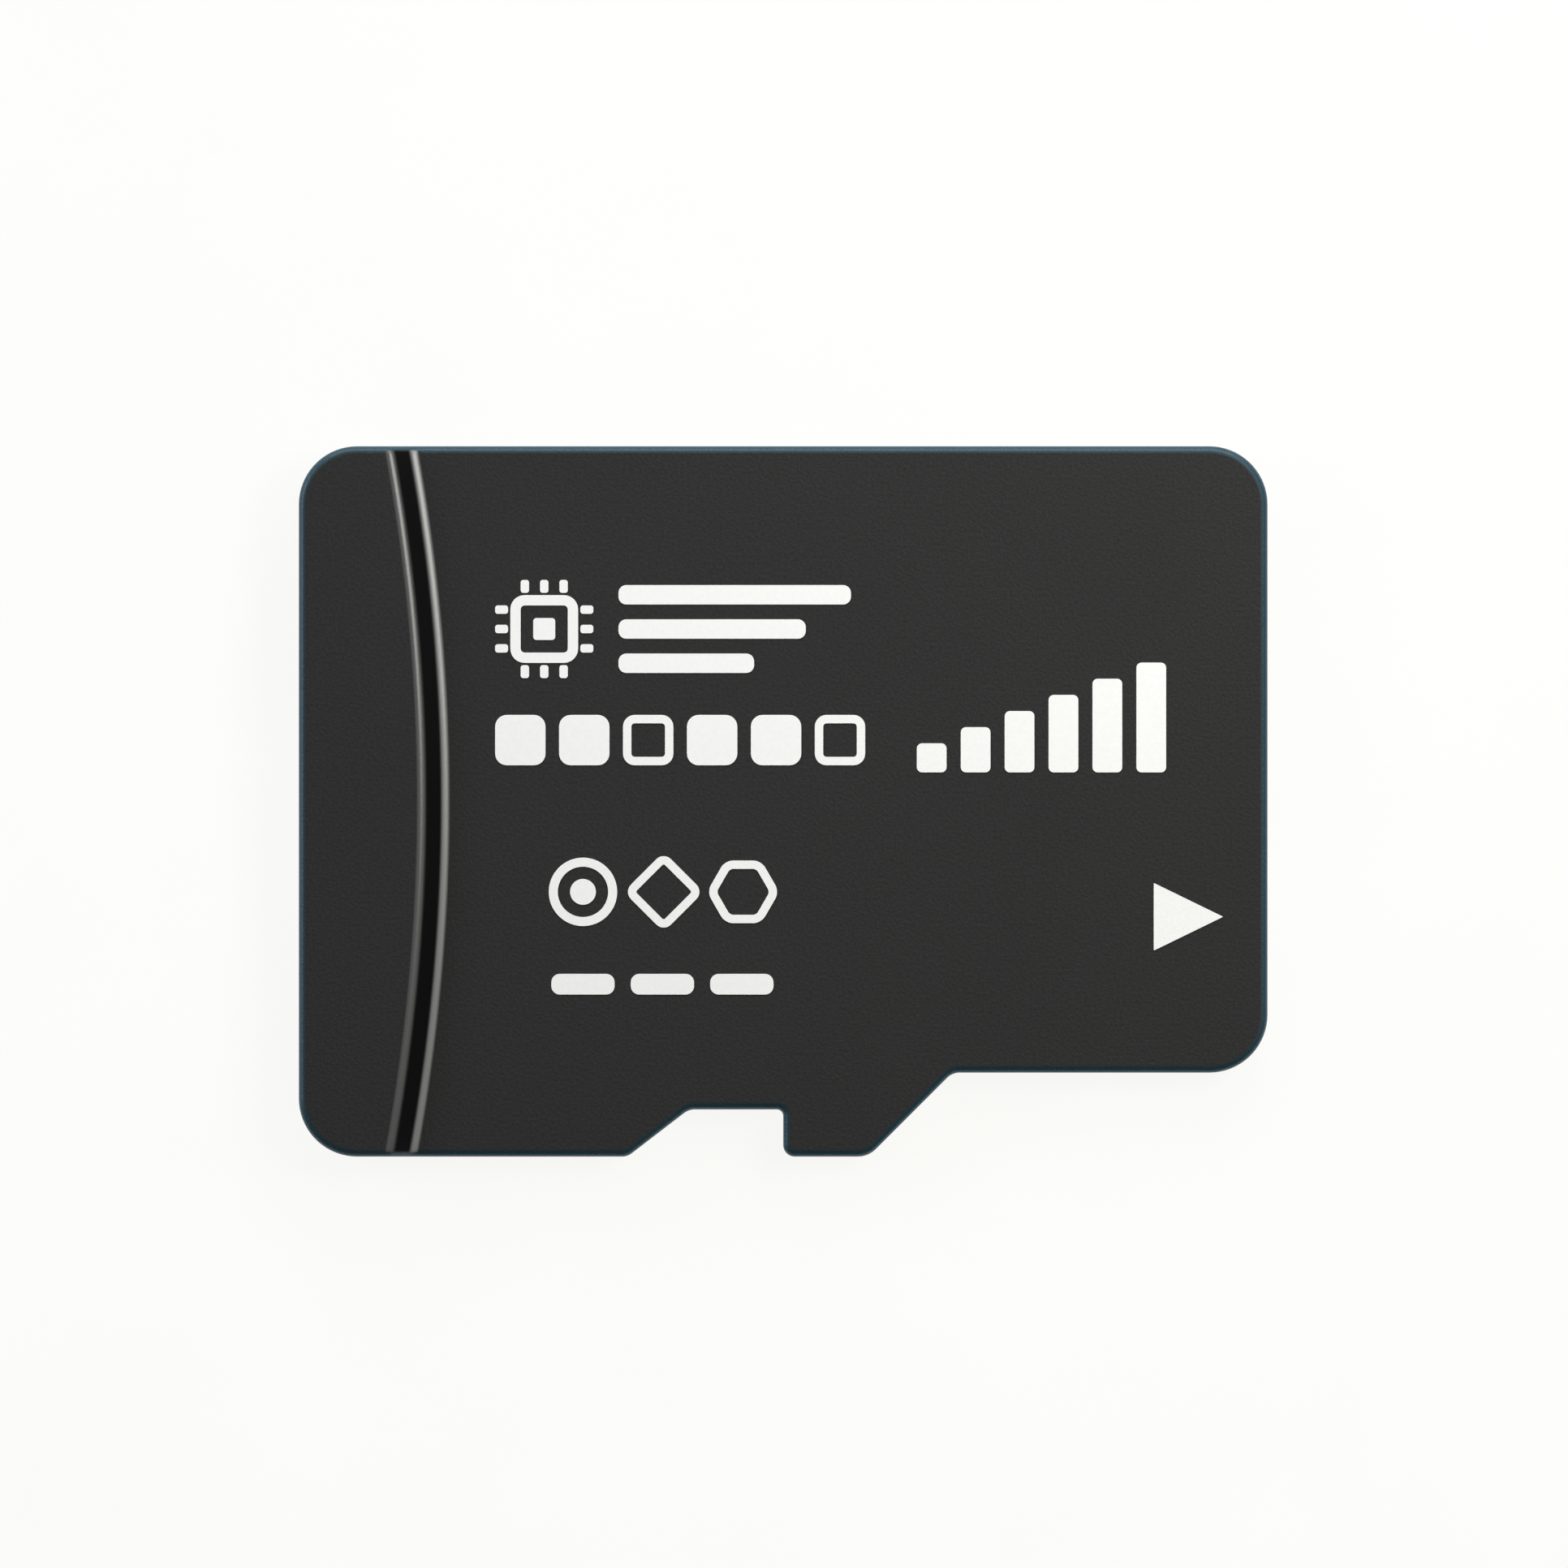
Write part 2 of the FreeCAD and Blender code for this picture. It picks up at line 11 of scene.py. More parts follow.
import bmesh
import bpy
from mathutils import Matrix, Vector


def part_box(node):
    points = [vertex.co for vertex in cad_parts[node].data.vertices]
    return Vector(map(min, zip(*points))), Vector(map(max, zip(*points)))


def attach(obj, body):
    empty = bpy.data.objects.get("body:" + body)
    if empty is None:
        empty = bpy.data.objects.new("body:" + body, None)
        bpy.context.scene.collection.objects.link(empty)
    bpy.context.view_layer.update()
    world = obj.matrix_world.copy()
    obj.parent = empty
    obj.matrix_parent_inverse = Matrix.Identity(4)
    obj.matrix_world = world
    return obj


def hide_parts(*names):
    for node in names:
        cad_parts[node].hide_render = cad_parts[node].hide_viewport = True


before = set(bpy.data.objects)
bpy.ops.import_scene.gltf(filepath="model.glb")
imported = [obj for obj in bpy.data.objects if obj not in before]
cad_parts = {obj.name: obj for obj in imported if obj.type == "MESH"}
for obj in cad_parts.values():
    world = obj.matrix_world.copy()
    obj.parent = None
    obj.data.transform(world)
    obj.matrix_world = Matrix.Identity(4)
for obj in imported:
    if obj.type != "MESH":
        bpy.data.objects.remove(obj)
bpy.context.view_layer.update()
MM = 0.001

# %% [markdown]
# ## Two helpers for finishes
#
# Colours are given as sRGB hex values, as a paint chart gives them, but shaders reckon in
# linear light. One function turns the first into the second. A second one adds a node with its
# settings and its links, so that each finish below reads from top to bottom like a recipe.


# %% Colour and node helpers
def linear(code):
    """An sRGB hex colour as the linear colour a shader wants."""
    parts = [int(code[i:i + 2], 16) / 255 for i in (1, 3, 5)]
    return [v / 12.92 if v <= 0.04045 else ((v + 0.055) / 1.055) ** 2.4 for v in parts] + [1.0]


def add_node(tree, kind, values=None, links=None, **settings):
    """Add one node: settings are its own, values go on its sockets, links feed its sockets."""
    node = tree.nodes.new(kind)
    for name, setting in settings.items():
        setattr(node, name, setting)
    for socket, value in (values or {}).items():
        node.inputs[socket].default_value = value
    for socket, output in (links or {}).items():
        tree.links.new(output, node.inputs[socket])
    return node


def new_finish(name, **values):
    """A material with one Principled shader, whose plain values are set on its own sockets."""
    finish = bpy.data.materials.new(name)
    finish.use_nodes = True
    shader = finish.node_tree.nodes["Principled BSDF"]
    for socket, value in values.items():
        shader.inputs[socket.replace("_", " ")].default_value = value
    return finish, finish.node_tree, shader


def per_mm(size):
    """The scale of a pattern whose cells are this many millimetres wide."""
    return 1 / (size * MM)


WAVE = math.tau / 20  # the length over which a wave pattern of scale 1 repeats

print("dark grey is", [round(v, 4) for v in linear("#31312f")])

# %% [markdown]
# ## The finish of the moulding
#
# The black body is epoxy moulding compound, the same glass-filled resin that chips are cast in. It
# was pressed into a spark-eroded steel mould, so its label face has a fine even grain and hardly
# any shine. Where a thumb and a socket rub it, at the rim and along the two edges of the arched
# ridge, the resin is burnished smooth. Its colour there is painted light as well: the two edges of
# the ridge are painted paler as a painted highlight, and the rim is painted blue-green, lighter on
# its outer part, as a painted reflection. The ramp between those edges drew against smooth steel
# and is smooth, and its near-black colour is painted shade.
#
# The ridge is an arc round an axis far behind the card, so the distance from that axis tells the
# ramp and its two edges apart, and the surface's own normal tells the rim and the sides from the
# face. No painting by hand is needed.

# %% Where the rim and the ridge lie
RIDGE_AXIS = -35.59
CREST, FOOT = 30.0, 30.3575

compound, tree, shader = new_finish("epoxy_moulding_compound", IOR=1.5)
place = add_node(tree, "ShaderNodeTexCoord")
turn = add_node(tree, "ShaderNodeSeparateXYZ", links={0: place.outputs["Normal"]})
flat = add_node(tree, "ShaderNodeVectorMath", {1: (1, 1, 0)}, {0: place.outputs["Object"]},
                operation="MULTIPLY")
away = add_node(tree, "ShaderNodeVectorMath", {1: (RIDGE_AXIS * MM, 0, 0)}, {0: flat.outputs[0]},
                operation="SUBTRACT")
reach = add_node(tree, "ShaderNodeVectorMath", links={0: away.outputs[0]}, operation="LENGTH")
from_crest = add_node(tree, "ShaderNodeMath", {1: CREST * MM}, {0: reach.outputs["Value"]},
                      operation="SUBTRACT").outputs[0]


def band(tree, value, start, full, end, gone):
    """1 where the value lies between full and end, fading out to start and to gone."""
    rise = add_node(tree, "ShaderNodeMapRange", {1: start, 2: full}, {0: value},
                    interpolation_type="SMOOTHSTEP")
    fall = add_node(tree, "ShaderNodeMapRange", {1: end, 2: gone, 3: 1, 4: 0}, {0: value},
                    interpolation_type="SMOOTHSTEP")
    return add_node(tree, "ShaderNodeMath", links={0: rise.outputs[0], 1: fall.outputs[0]},
                    operation="MULTIPLY").outputs[0]


# Where each part of the ridge starts, is full, ends and is gone, in millimetres from the crest
RAMP_BAND = (0.04, 0.085, 0.26, 0.32)
CREST_BAND = (-0.095, -0.05, 0.02, 0.06)
FOOT_BAND = (0.28, 0.34, 0.38, 0.44)
RIDGE_BAND = (-0.1, -0.08, 0.45, 0.47)
ramp, crest_edge, foot_edge, ridge = (
    band(tree, from_crest, *(limit * MM for limit in limits))
    for limits in (RAMP_BAND, CREST_BAND, FOOT_BAND, RIDGE_BAND))
print("ridge masks from", RIDGE_BAND[0], "to", RIDGE_BAND[-1], "mm from the crest")

# %% The masks of the rim and the sides
# The rim leans out from upright. On the ridge the ramp leans too, but only straight away from the
# axis, so there the rim is told by the part of its normal that lies across that direction. Each
# mask starts at its first value of the normal and is full at its second.
END_RIM, LEAN, BROW, SIDE = (0.3, 0.55), (0.9995, 0.985), (0.985, 0.82), (0.08, 0.02)
unit = add_node(tree, "ShaderNodeVectorMath", links={0: away.outputs[0]}, operation="NORMALIZE")
cross = add_node(tree, "ShaderNodeVectorMath", links={0: unit.outputs[0], 1: place.outputs["Normal"]},
                 operation="CROSS_PRODUCT")
cross_parts = add_node(tree, "ShaderNodeSeparateXYZ", links={0: cross.outputs[0]})
sideways = add_node(tree, "ShaderNodeMath", links={0: cross_parts.outputs[2]}, operation="ABSOLUTE")
end_rim = add_node(tree, "ShaderNodeMapRange", {1: END_RIM[0], 2: END_RIM[1]}, {0: sideways.outputs[0]},
                   interpolation_type="SMOOTHSTEP")
lean = add_node(tree, "ShaderNodeMapRange", {1: LEAN[0], 2: LEAN[1], 3: 0, 4: 1}, {0: turn.outputs[2]},
                interpolation_type="SMOOTHSTEP")
off_ridge = add_node(tree, "ShaderNodeMath", {0: 1.0}, {1: ridge}, operation="SUBTRACT")
plain_rim = add_node(tree, "ShaderNodeMath", links={0: lean.outputs[0], 1: off_ridge.outputs[0]},
                     operation="MULTIPLY")
rim = add_node(tree, "ShaderNodeMath", links={0: plain_rim.outputs[0], 1: end_rim.outputs[0]},
               operation="MAXIMUM").outputs[0]
brow = add_node(tree, "ShaderNodeMapRange", {1: BROW[0], 2: BROW[1], 3: 0, 4: 1}, {0: turn.outputs[2]},
                interpolation_type="SMOOTHSTEP").outputs[0]
outer_rim = add_node(tree, "ShaderNodeMath", links={0: rim, 1: brow}, operation="MULTIPLY").outputs[0]
wall = add_node(tree, "ShaderNodeMapRange", {1: SIDE[0], 2: SIDE[1], 3: 0, 4: 1},
                {0: turn.outputs[2]}).outputs[0]
print("rim and side masks made:", len(tree.nodes), "nodes so far")

# %% Colour of the compound
# Epoxy moulding compound, pressed in a spark-eroded mould: nearly black and matt. The blue-green of
# the rim, lighter on its outer part, is a painted reflection; the paler tones of the ridge's two
# edges are painted highlights, and the near-black of the ramp is painted shade. The real grain is
# about 0.02 mm wide; it is drawn coarser so that it shows.
GRAIN = 0.05
PIT, LAND = "#060604", "#191916"
# The ramp's near-black tone is painted shade; the paler crest and foot tones are painted highlights.
# The two rim tones are a painted blue-green reflection, the outer one lighter as a painted highlight.
TONES = ((ramp, "#030303"), (crest_edge, "#545453"), (foot_edge, "#828280"), (rim, "#07252c"),
         (outer_rim, "#0d3b49"), (wall, "#1b1e1f"))
grain = add_node(tree, "ShaderNodeTexNoise", {"Scale": per_mm(GRAIN), "Detail": 2, "Roughness": 0.6},
                 {"Vector": place.outputs["Object"]})
pitted = add_node(tree, "ShaderNodeMapRange", {1: 0.3, 2: 0.7}, {0: grain.outputs[0]}).outputs[0]
colour = add_node(tree, "ShaderNodeMix", {6: linear(PIT), 7: linear(LAND)}, {0: pitted},
                  data_type="RGBA").outputs[2]
for mask, tone in TONES:
    colour = add_node(tree, "ShaderNodeMix", {7: linear(tone)}, {0: mask, 6: colour},
                      data_type="RGBA").outputs[2]
tree.links.new(colour, shader.inputs["Base Color"])
print("tones on the compound:", len(TONES) + 2)

# %% Shine and relief of the compound
# The face's shine drifts in soft clouds, the sides carry fine lines where the cards were sawn apart,
# and the grain ends at the ridge, which came off smooth steel.
CLOUD, SAW_LINE, GRAIN_DEPTH = 2.5, 0.04, 0.006
MEAN_HEIGHT = 0.5  # of the grain, so that the smooth ridge lies level with it
FACE_ROUGHNESS = (0.62, 0.74)
ROUGHNESS = ((ramp, 0.22), (crest_edge, 0.24), (foot_edge, 0.24), (rim, 0.66), (outer_rim, 0.4),
             (wall, 0.6))
cloud = add_node(tree, "ShaderNodeTexNoise", {"Scale": per_mm(CLOUD), "Detail": 3},
                 {"Vector": place.outputs["Object"]})
shine = add_node(tree, "ShaderNodeMix", {2: FACE_ROUGHNESS[0], 3: FACE_ROUGHNESS[1]},
                 {0: cloud.outputs[0]}).outputs[0]
for mask, rough in ROUGHNESS:
    shine = add_node(tree, "ShaderNodeMix", {3: rough}, {0: mask, 2: shine}).outputs[0]
tree.links.new(shine, shader.inputs["Roughness"])
lengthwise = add_node(tree, "ShaderNodeMapping", {"Scale": (0.05, 0.05, 1)},
                      {"Vector": place.outputs["Object"]})
saw = add_node(tree, "ShaderNodeTexNoise", {"Scale": per_mm(SAW_LINE), "Detail": 2},
               {"Vector": lengthwise.outputs[0]})
smooth = add_node(tree, "ShaderNodeMix", {3: MEAN_HEIGHT}, {0: ridge, 2: grain.outputs[0]}).outputs[0]
texture = add_node(tree, "ShaderNodeMix", links={0: wall, 2: smooth, 3: saw.outputs[0]}).outputs[0]
relief = add_node(tree, "ShaderNodeBump", {"Strength": 1.0, "Distance": GRAIN_DEPTH * MM},
                  {"Height": texture})
tree.links.new(relief.outputs[0], shader.inputs["Normal"])
print("compound:", len(tree.nodes), "nodes")

# %% [markdown]
# ## The moulded body
#
# The cover is one moulding: a slab with a stepped and notched plan, a thumb ridge that stands up at
# the rear behind an arched ramp, and a rounded rim. The loaded solid has this form in large facets,
# and a highlight that runs along the ridge shows every one of them. So the same form is made again
# with fine, even rows. The plan starts as a circle of ten vertices that are pulled to the corners.

# %% The plan of the card
PLAN = (  # x and y of each sharp corner and the radius it is rounded to, in millimetres
    (-7.5, 5.5, 0.9), (-7.5, -5.5, 0.9), (-2.41, -5.5, 0.25), (-1.46, -4.77, 0.25), (0.0, -4.77, 0.1),
    (0.0, -5.5, 0.18), (1.32, -5.5, 0.4), (2.62, -4.2, 0.25), (7.5, -4.2, 0.9), (7.5, 5.5, 0.9),
)
BOARD_TOP, RIDGE_TOP, RIM = 0.2, 1.0, 0.12
NEAR = 1e-3  # places closer than this, in millimetres, count as one


def pick(test):
    """In edit mode, select just the vertices whose place, in millimetres, passes the test."""
    bpy.ops.mesh.select_all(action="DESELECT")
    mesh = bmesh.from_edit_mesh(bpy.context.object.data)
    for vertex in mesh.verts:
        vertex.select_set(bool(test(vertex.co / MM)))
    mesh.select_flush_mode()
    bmesh.update_edit_mesh(bpy.context.object.data)


def settle():
    """In edit mode, number all elements by their distance from the cursor, so every run is alike."""
    bpy.ops.mesh.select_all(action="SELECT")
    bpy.ops.mesh.sort_elements(type="CURSOR_DISTANCE", elements={"VERT", "EDGE", "FACE"})


# The cursor stands beside the card, off all its lines of symmetry
bpy.context.scene.cursor.location = (37.1 * MM, 21.3 * MM, 11.9 * MM)
bpy.ops.object.select_all(action="DESELECT")
bpy.context.tool_settings.mesh_select_mode = (True, False, False)
bpy.ops.mesh.primitive_circle_add(vertices=len(PLAN), radius=9 * MM, fill_type="NGON",
                                  location=(0, 0, BOARD_TOP * MM))
body = bpy.context.object
body.name = body.data.name = "moulded_cover"
bpy.ops.object.transform_apply(location=True, rotation=False, scale=False)
starts = [v.co / MM for v in body.data.vertices]
bpy.ops.object.mode_set(mode="EDIT")
for start, (x, y, _) in zip(starts, PLAN):
    pick(lambda spot: (spot - start).length < NEAR)
    bpy.ops.transform.translate(value=((x - start.x) * MM, (y - start.y) * MM, 0))
print("plan corners:", len(PLAN))

# %% Round the corners of the plan
for radius in sorted({corner[2] for corner in PLAN}):
    for at, corner in enumerate(PLAN):
        if corner[2] == radius:
            before, after = Vector(PLAN[at - 1][:2]), Vector(PLAN[(at + 1) % len(PLAN)][:2])
            here = Vector(corner[:2])
            bend = math.pi - (before - here).angle(after - here)
            pick(lambda spot: (spot.xy - here).length < NEAR)
            bpy.ops.mesh.bevel(offset=radius * math.tan(bend / 2) * MM, offset_type="OFFSET",
                               segments=4 + round(bend * 8), affect="VERTICES", clamp_overlap=False)
bpy.ops.mesh.select_all(action="SELECT")
bpy.ops.mesh.normals_make_consistent(inside=False)
print("plan vertices:", len(bmesh.from_edit_mesh(body.data).verts))

# %% [markdown]
# The plan is extruded to the height of the ridge, less the rim. The rim is then rolled over by
# insets that go a little inwards and a little upwards, each along a quarter of a circle.

# %% Raise the slab and roll the rim
mesh = bmesh.from_edit_mesh(body.data)
if next(iter(mesh.faces)).normal.z < 0:
    bpy.ops.mesh.flip_normals()
bpy.ops.mesh.extrude_region_move(
    TRANSFORM_OT_translate={"value": (0, 0, (RIDGE_TOP - RIM - BOARD_TOP) * MM)})
ROLLS = 8
for roll in range(ROLLS):
    low, high = (math.radians(90 * (roll + i) / ROLLS) for i in (0, 1))
    bpy.ops.mesh.inset(thickness=RIM * (math.cos(low) - math.cos(high)) * MM,
                       depth=RIM * (math.sin(high) - math.sin(low)) * MM, use_even_offset=True)
settle()
bpy.ops.object.mode_set(mode="OBJECT")
print("slab faces:", len(body.data.polygons), "top at", max(v.co.z for v in body.data.vertices) / MM)

# %% [markdown]
# The ridge is turned about an upright axis far behind the card, so its edges are arcs. Spinning a
# row of upright edges about that axis gives a set of curved walls, one for each line where the ramp
# bends. An Intersect cut with these walls draws the arcs right across the slab, rim and all, and
# each arc is then lowered to its height on the ramp. The rim goes down with it.

# %% Rows of the ramp
CREST_ROUND, FOOT_ROUND = 0.2, 0.25
CREST_ROWS, FOOT_ROWS = 8, 10
FALL = math.radians(40)
LABEL_FACE = 0.7
crest_start = CREST - CREST_ROUND * math.tan(FALL / 2)
foot_end = FOOT + FOOT_ROUND * math.tan(FALL / 2)
rows = []
for step in range(CREST_ROWS + 1):
    lean = FALL * step / CREST_ROWS
    rows.append((crest_start + CREST_ROUND * math.sin(lean), CREST_ROUND * (1 - math.cos(lean))))
for step in range(FOOT_ROWS + 1):
    lean = FALL * (FOOT_ROWS - step) / FOOT_ROWS
    rows.append((foot_end - FOOT_ROUND * math.sin(lean),
                 RIDGE_TOP - LABEL_FACE - FOOT_ROUND * (1 - math.cos(lean))))
print("rows:", len(rows), "from", round(rows[0][0], 3), "to", round(rows[-1][0], 3), "mm")

# %% Cut the arcs with spun walls
SWEEP, SWEEP_STEPS = math.radians(24), 72
WALL_HEIGHT = 1.3
bpy.ops.object.select_all(action="DESELECT")
bpy.ops.mesh.primitive_plane_add(size=MM, location=(0, 0, 0))
walls = bpy.context.object
bpy.ops.object.mode_set(mode="EDIT")
bpy.ops.mesh.merge(type="CENTER")
for reach, _ in rows:
    x = RIDGE_AXIS + reach * math.cos(SWEEP / 2)
    y = reach * math.sin(SWEEP / 2)
    pick(lambda spot: spot.length < NEAR)
    bpy.ops.mesh.duplicate_move(TRANSFORM_OT_translate={"value": (x * MM, y * MM, 0)})
pick(lambda spot: spot.length < NEAR)
bpy.ops.mesh.delete(type="VERT")
bpy.ops.mesh.select_all(action="SELECT")
bpy.ops.mesh.extrude_region_move(TRANSFORM_OT_translate={"value": (0, 0, WALL_HEIGHT * MM)})
bpy.ops.mesh.select_all(action="SELECT")
bpy.ops.mesh.spin(steps=SWEEP_STEPS, angle=SWEEP, center=(RIDGE_AXIS * MM, 0, 0), axis=(0, 0, 1))
settle()
bpy.ops.object.mode_set(mode="OBJECT")
print("walls:", len(walls.data.polygons), "faces,", round(walls.dimensions.y / MM, 2), "mm across the card")


# %% Draw the arcs on the slab
def take(*objects):
    """Select just these objects and make the last one active."""
    bpy.ops.object.select_all(action="DESELECT")
    for chosen in objects:
        chosen.select_set(True)
    bpy.context.view_layer.objects.active = objects[-1]


# A second slot marks the walls, so that they can be found again after the cut and deleted.
marker = bpy.data.materials.new("mark_of_the_cutting_walls")
body.data.materials.append(compound)
walls.data.materials.append(marker)
take(walls, body)
bpy.ops.object.join()
bpy.ops.object.mode_set(mode="EDIT")
bpy.ops.mesh.select_all(action="DESELECT")
body.active_material_index = 1
bpy.ops.object.material_slot_select()
bpy.ops.mesh.intersect(mode="SELECT_UNSELECT", separate_mode="NONE", solver="EXACT")
bpy.ops.mesh.select_all(action="DESELECT")
bpy.ops.object.material_slot_select()
bpy.ops.mesh.delete(type="FACE")
pick(lambda spot: spot.z > RIDGE_TOP + NEAR or spot.z < BOARD_TOP - NEAR)
bpy.ops.mesh.delete(type="VERT")
print("slab with arcs:", len(bmesh.from_edit_mesh(body.data).faces), "faces")


# %% Lower the arcs
def on_arc(spot):
    """How far a place is from the ridge's axis, in millimetres."""
    return math.hypot(spot.x - RIDGE_AXIS, spot.y)


UPPER = 0.5  # only the vertices above this height, in millimetres, go down
bpy.ops.mesh.select_all(action="SELECT")
bpy.ops.mesh.quads_convert_to_tris(ngon_method="BEAUTY")
for reach, drop in rows[1:-1]:
    pick(lambda spot: spot.z > UPPER and abs(on_arc(spot) - reach) < NEAR)
    bpy.ops.transform.translate(value=(0, 0, -drop * MM))
pick(lambda spot: spot.z > UPPER and on_arc(spot) > rows[-1][0] - NEAR)
bpy.ops.transform.translate(value=(0, 0, (LABEL_FACE - RIDGE_TOP) * MM))
bpy.ops.mesh.select_all(action="SELECT")
bpy.ops.mesh.dissolve_limited(angle_limit=math.radians(0.05), use_dissolve_boundaries=False)
bpy.ops.object.mode_set(mode="OBJECT")
body.active_material_index = 1
bpy.ops.object.material_slot_remove()
bpy.data.materials.remove(marker)
print("ridge rows lowered:", len(rows), "faces:", len(body.data.polygons))

# %% [markdown]
# In the mould the compound flows round the chips, the small parts and the wires. A copy of each of
# them is subtracted, so the cover has a pocket of the right shape for everything it seals.

# %% Hollow it for what is sealed inside
SEALED = [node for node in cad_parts
          if node.startswith(("flash", "controller", "capacitor", "resistor"))]
for node in SEALED:
    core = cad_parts[node].copy()
    core.data = core.data.copy()
    bpy.context.collection.objects.link(core)
    take(core)
    bpy.ops.object.mode_set(mode="EDIT")
    bpy.ops.mesh.select_all(action="SELECT")
    bpy.ops.mesh.remove_doubles(threshold=1e-8)
    bpy.ops.object.mode_set(mode="OBJECT")
    take(body)
    pocket = body.modifiers.new("pocket", "BOOLEAN")
    pocket.operation, pocket.solver, pocket.object = "DIFFERENCE", "EXACT", core
    bpy.ops.object.modifier_apply(modifier=pocket.name)
    bpy.data.objects.remove(core)
print("pockets:", len(SEALED), "faces:", len(body.data.polygons))

# %% Smooth it
take(body)
bpy.ops.object.shade_smooth_by_angle(angle=math.radians(35))
even = body.modifiers.new("even_normals", "WEIGHTED_NORMAL")
even.keep_sharp = True
bpy.ops.object.modifier_apply(modifier=even.name)
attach(body, "root")
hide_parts("moulded_body")
print(body.name, "is smooth:", body.data.has_custom_normals)

# %% [markdown]
# ## The board
#
# The underside is the face of the laminate board that carries the chips. Its glass cloth and copper
# tracks lie under black solder mask, which is rolled on wet and cured, so it is smoother than the
# moulded face, and the tracks stand up a little and show through as faint paler lines. A drawing of
# a circuit isn't needed. Even lanes that step sideways at 45 degrees look like routed tracks once
# each stretch of a lane is either drawn or left out, and a dot at some of the ends looks like a
# filled hole. Straight necks run from the contacts to the lanes and to the front edge, where the
# plating current came in. The board's edge is sawn, so it is matt, with the plies as fine bands.

# %% Lanes that step at 45 degrees
TRACK_PITCH, STRETCH, TRACKS_DRAWN = 0.3, 3.1, 0.6
BEND_EVERY, BEND_FROM, BEND_TO = 2.6, 0.7, 1.9
solder_mask, tree, shader = new_finish("solder_mask_on_laminate", IOR=1.52)
place = add_node(tree, "ShaderNodeTexCoord")
spot = add_node(tree, "ShaderNodeSeparateXYZ", links={0: place.outputs["Object"]})
zigzag = add_node(tree, "ShaderNodeMath", {1: BEND_EVERY * MM}, {0: spot.outputs[0]}, operation="PINGPONG")
step = add_node(tree, "ShaderNodeClamp", {1: BEND_FROM * MM, 2: BEND_TO * MM}, {0: zigzag.outputs[0]})
across = add_node(tree, "ShaderNodeMath", links={0: spot.outputs[1], 1: step.outputs[0]}, operation="ADD")
lanes = add_node(tree, "ShaderNodeMath", {1: per_mm(TRACK_PITCH)}, {0: across.outputs[0]},
                 operation="MULTIPLY")
lane = add_node(tree, "ShaderNodeMath", links={0: lanes.outputs[0]}, operation="FRACT")
number = add_node(tree, "ShaderNodeMath", links={0: lanes.outputs[0]}, operation="FLOOR")
runs = add_node(tree, "ShaderNodeMath", {1: per_mm(STRETCH)}, {0: spot.outputs[0]}, operation="MULTIPLY")
lines = band(tree, lane.outputs[0], 0.28, 0.36, 0.64, 0.72)


def drawn_share(run, share):
    """1 on about this share of the stretches of the lanes, by lane and run, and 0 on the others."""
    address = add_node(tree, "ShaderNodeCombineXYZ", links={0: number.outputs[0], 1: run})
    toss = add_node(tree, "ShaderNodeTexWhiteNoise", links={"Vector": address.outputs[0]},
                    noise_dimensions="2D")
    return add_node(tree, "ShaderNodeMath", {1: share}, {0: toss.outputs[0]},
                    operation="LESS_THAN").outputs[0]


run = add_node(tree, "ShaderNodeMath", links={0: runs.outputs[0]}, operation="FLOOR")
tracks = add_node(tree, "ShaderNodeMath", links={0: lines, 1: drawn_share(run.outputs[0], TRACKS_DRAWN)},
                  operation="MULTIPLY").outputs[0]
print("lanes every", TRACK_PITCH, "mm, in stretches of", STRETCH, "mm")

# %% Filled holes at the ends of the stretches
HOLE = 0.11  # radius in millimetres
HOLES_DRAWN = 0.45
end = add_node(tree, "ShaderNodeMath", links={0: runs.outputs[0]}, operation="ROUND")
past_end = add_node(tree, "ShaderNodeMath", links={0: runs.outputs[0], 1: end.outputs[0]},
                    operation="SUBTRACT")
off_lane = add_node(tree, "ShaderNodeMath", {1: 0.5}, {0: lane.outputs[0]}, operation="SUBTRACT")
offset = add_node(tree, "ShaderNodeCombineXYZ", links={0: past_end.outputs[0], 1: off_lane.outputs[0]})
from_hole = add_node(tree, "ShaderNodeVectorMath", {1: (STRETCH, TRACK_PITCH, 0)}, {0: offset.outputs[0]},
                     operation="MULTIPLY")
reach = add_node(tree, "ShaderNodeVectorMath", links={0: from_hole.outputs[0]}, operation="LENGTH")
round_dots = add_node(tree, "ShaderNodeMapRange", {1: HOLE, 2: HOLE - 0.03, 3: 0, 4: 1},
                      {0: reach.outputs["Value"]})
dots = add_node(tree, "ShaderNodeMath",
                links={0: round_dots.outputs[0], 1: drawn_share(end.outputs[0], HOLES_DRAWN)},
                operation="MULTIPLY").outputs[0]
print("filled holes", 2 * HOLE, "mm wide")

# %% Necks of the contacts
CONTACT_PITCH, NECK, NECK_REACH = 1.1, 0.14, 0.6
low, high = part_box("contact_pad_1")
row_start = (low.y + high.y) / 2
beside = add_node(tree, "ShaderNodeMath", {1: row_start}, {0: spot.outputs[1]}, operation="SUBTRACT")
pitched = add_node(tree, "ShaderNodeMath", {1: CONTACT_PITCH / 2 * MM}, {0: beside.outputs[0]},
                   operation="PINGPONG")
neck = add_node(tree, "ShaderNodeMapRange", {1: NECK / 2 * MM, 2: (NECK / 2 - 0.02) * MM, 3: 0, 4: 1},
                {0: pitched.outputs[0]})
at_contacts = add_node(tree, "ShaderNodeMath", {1: low.x - NECK_REACH * MM}, {0: spot.outputs[0]},
                       operation="GREATER_THAN")
field = add_node(tree, "ShaderNodeMath", links={0: tracks, 1: dots}, operation="MAXIMUM")
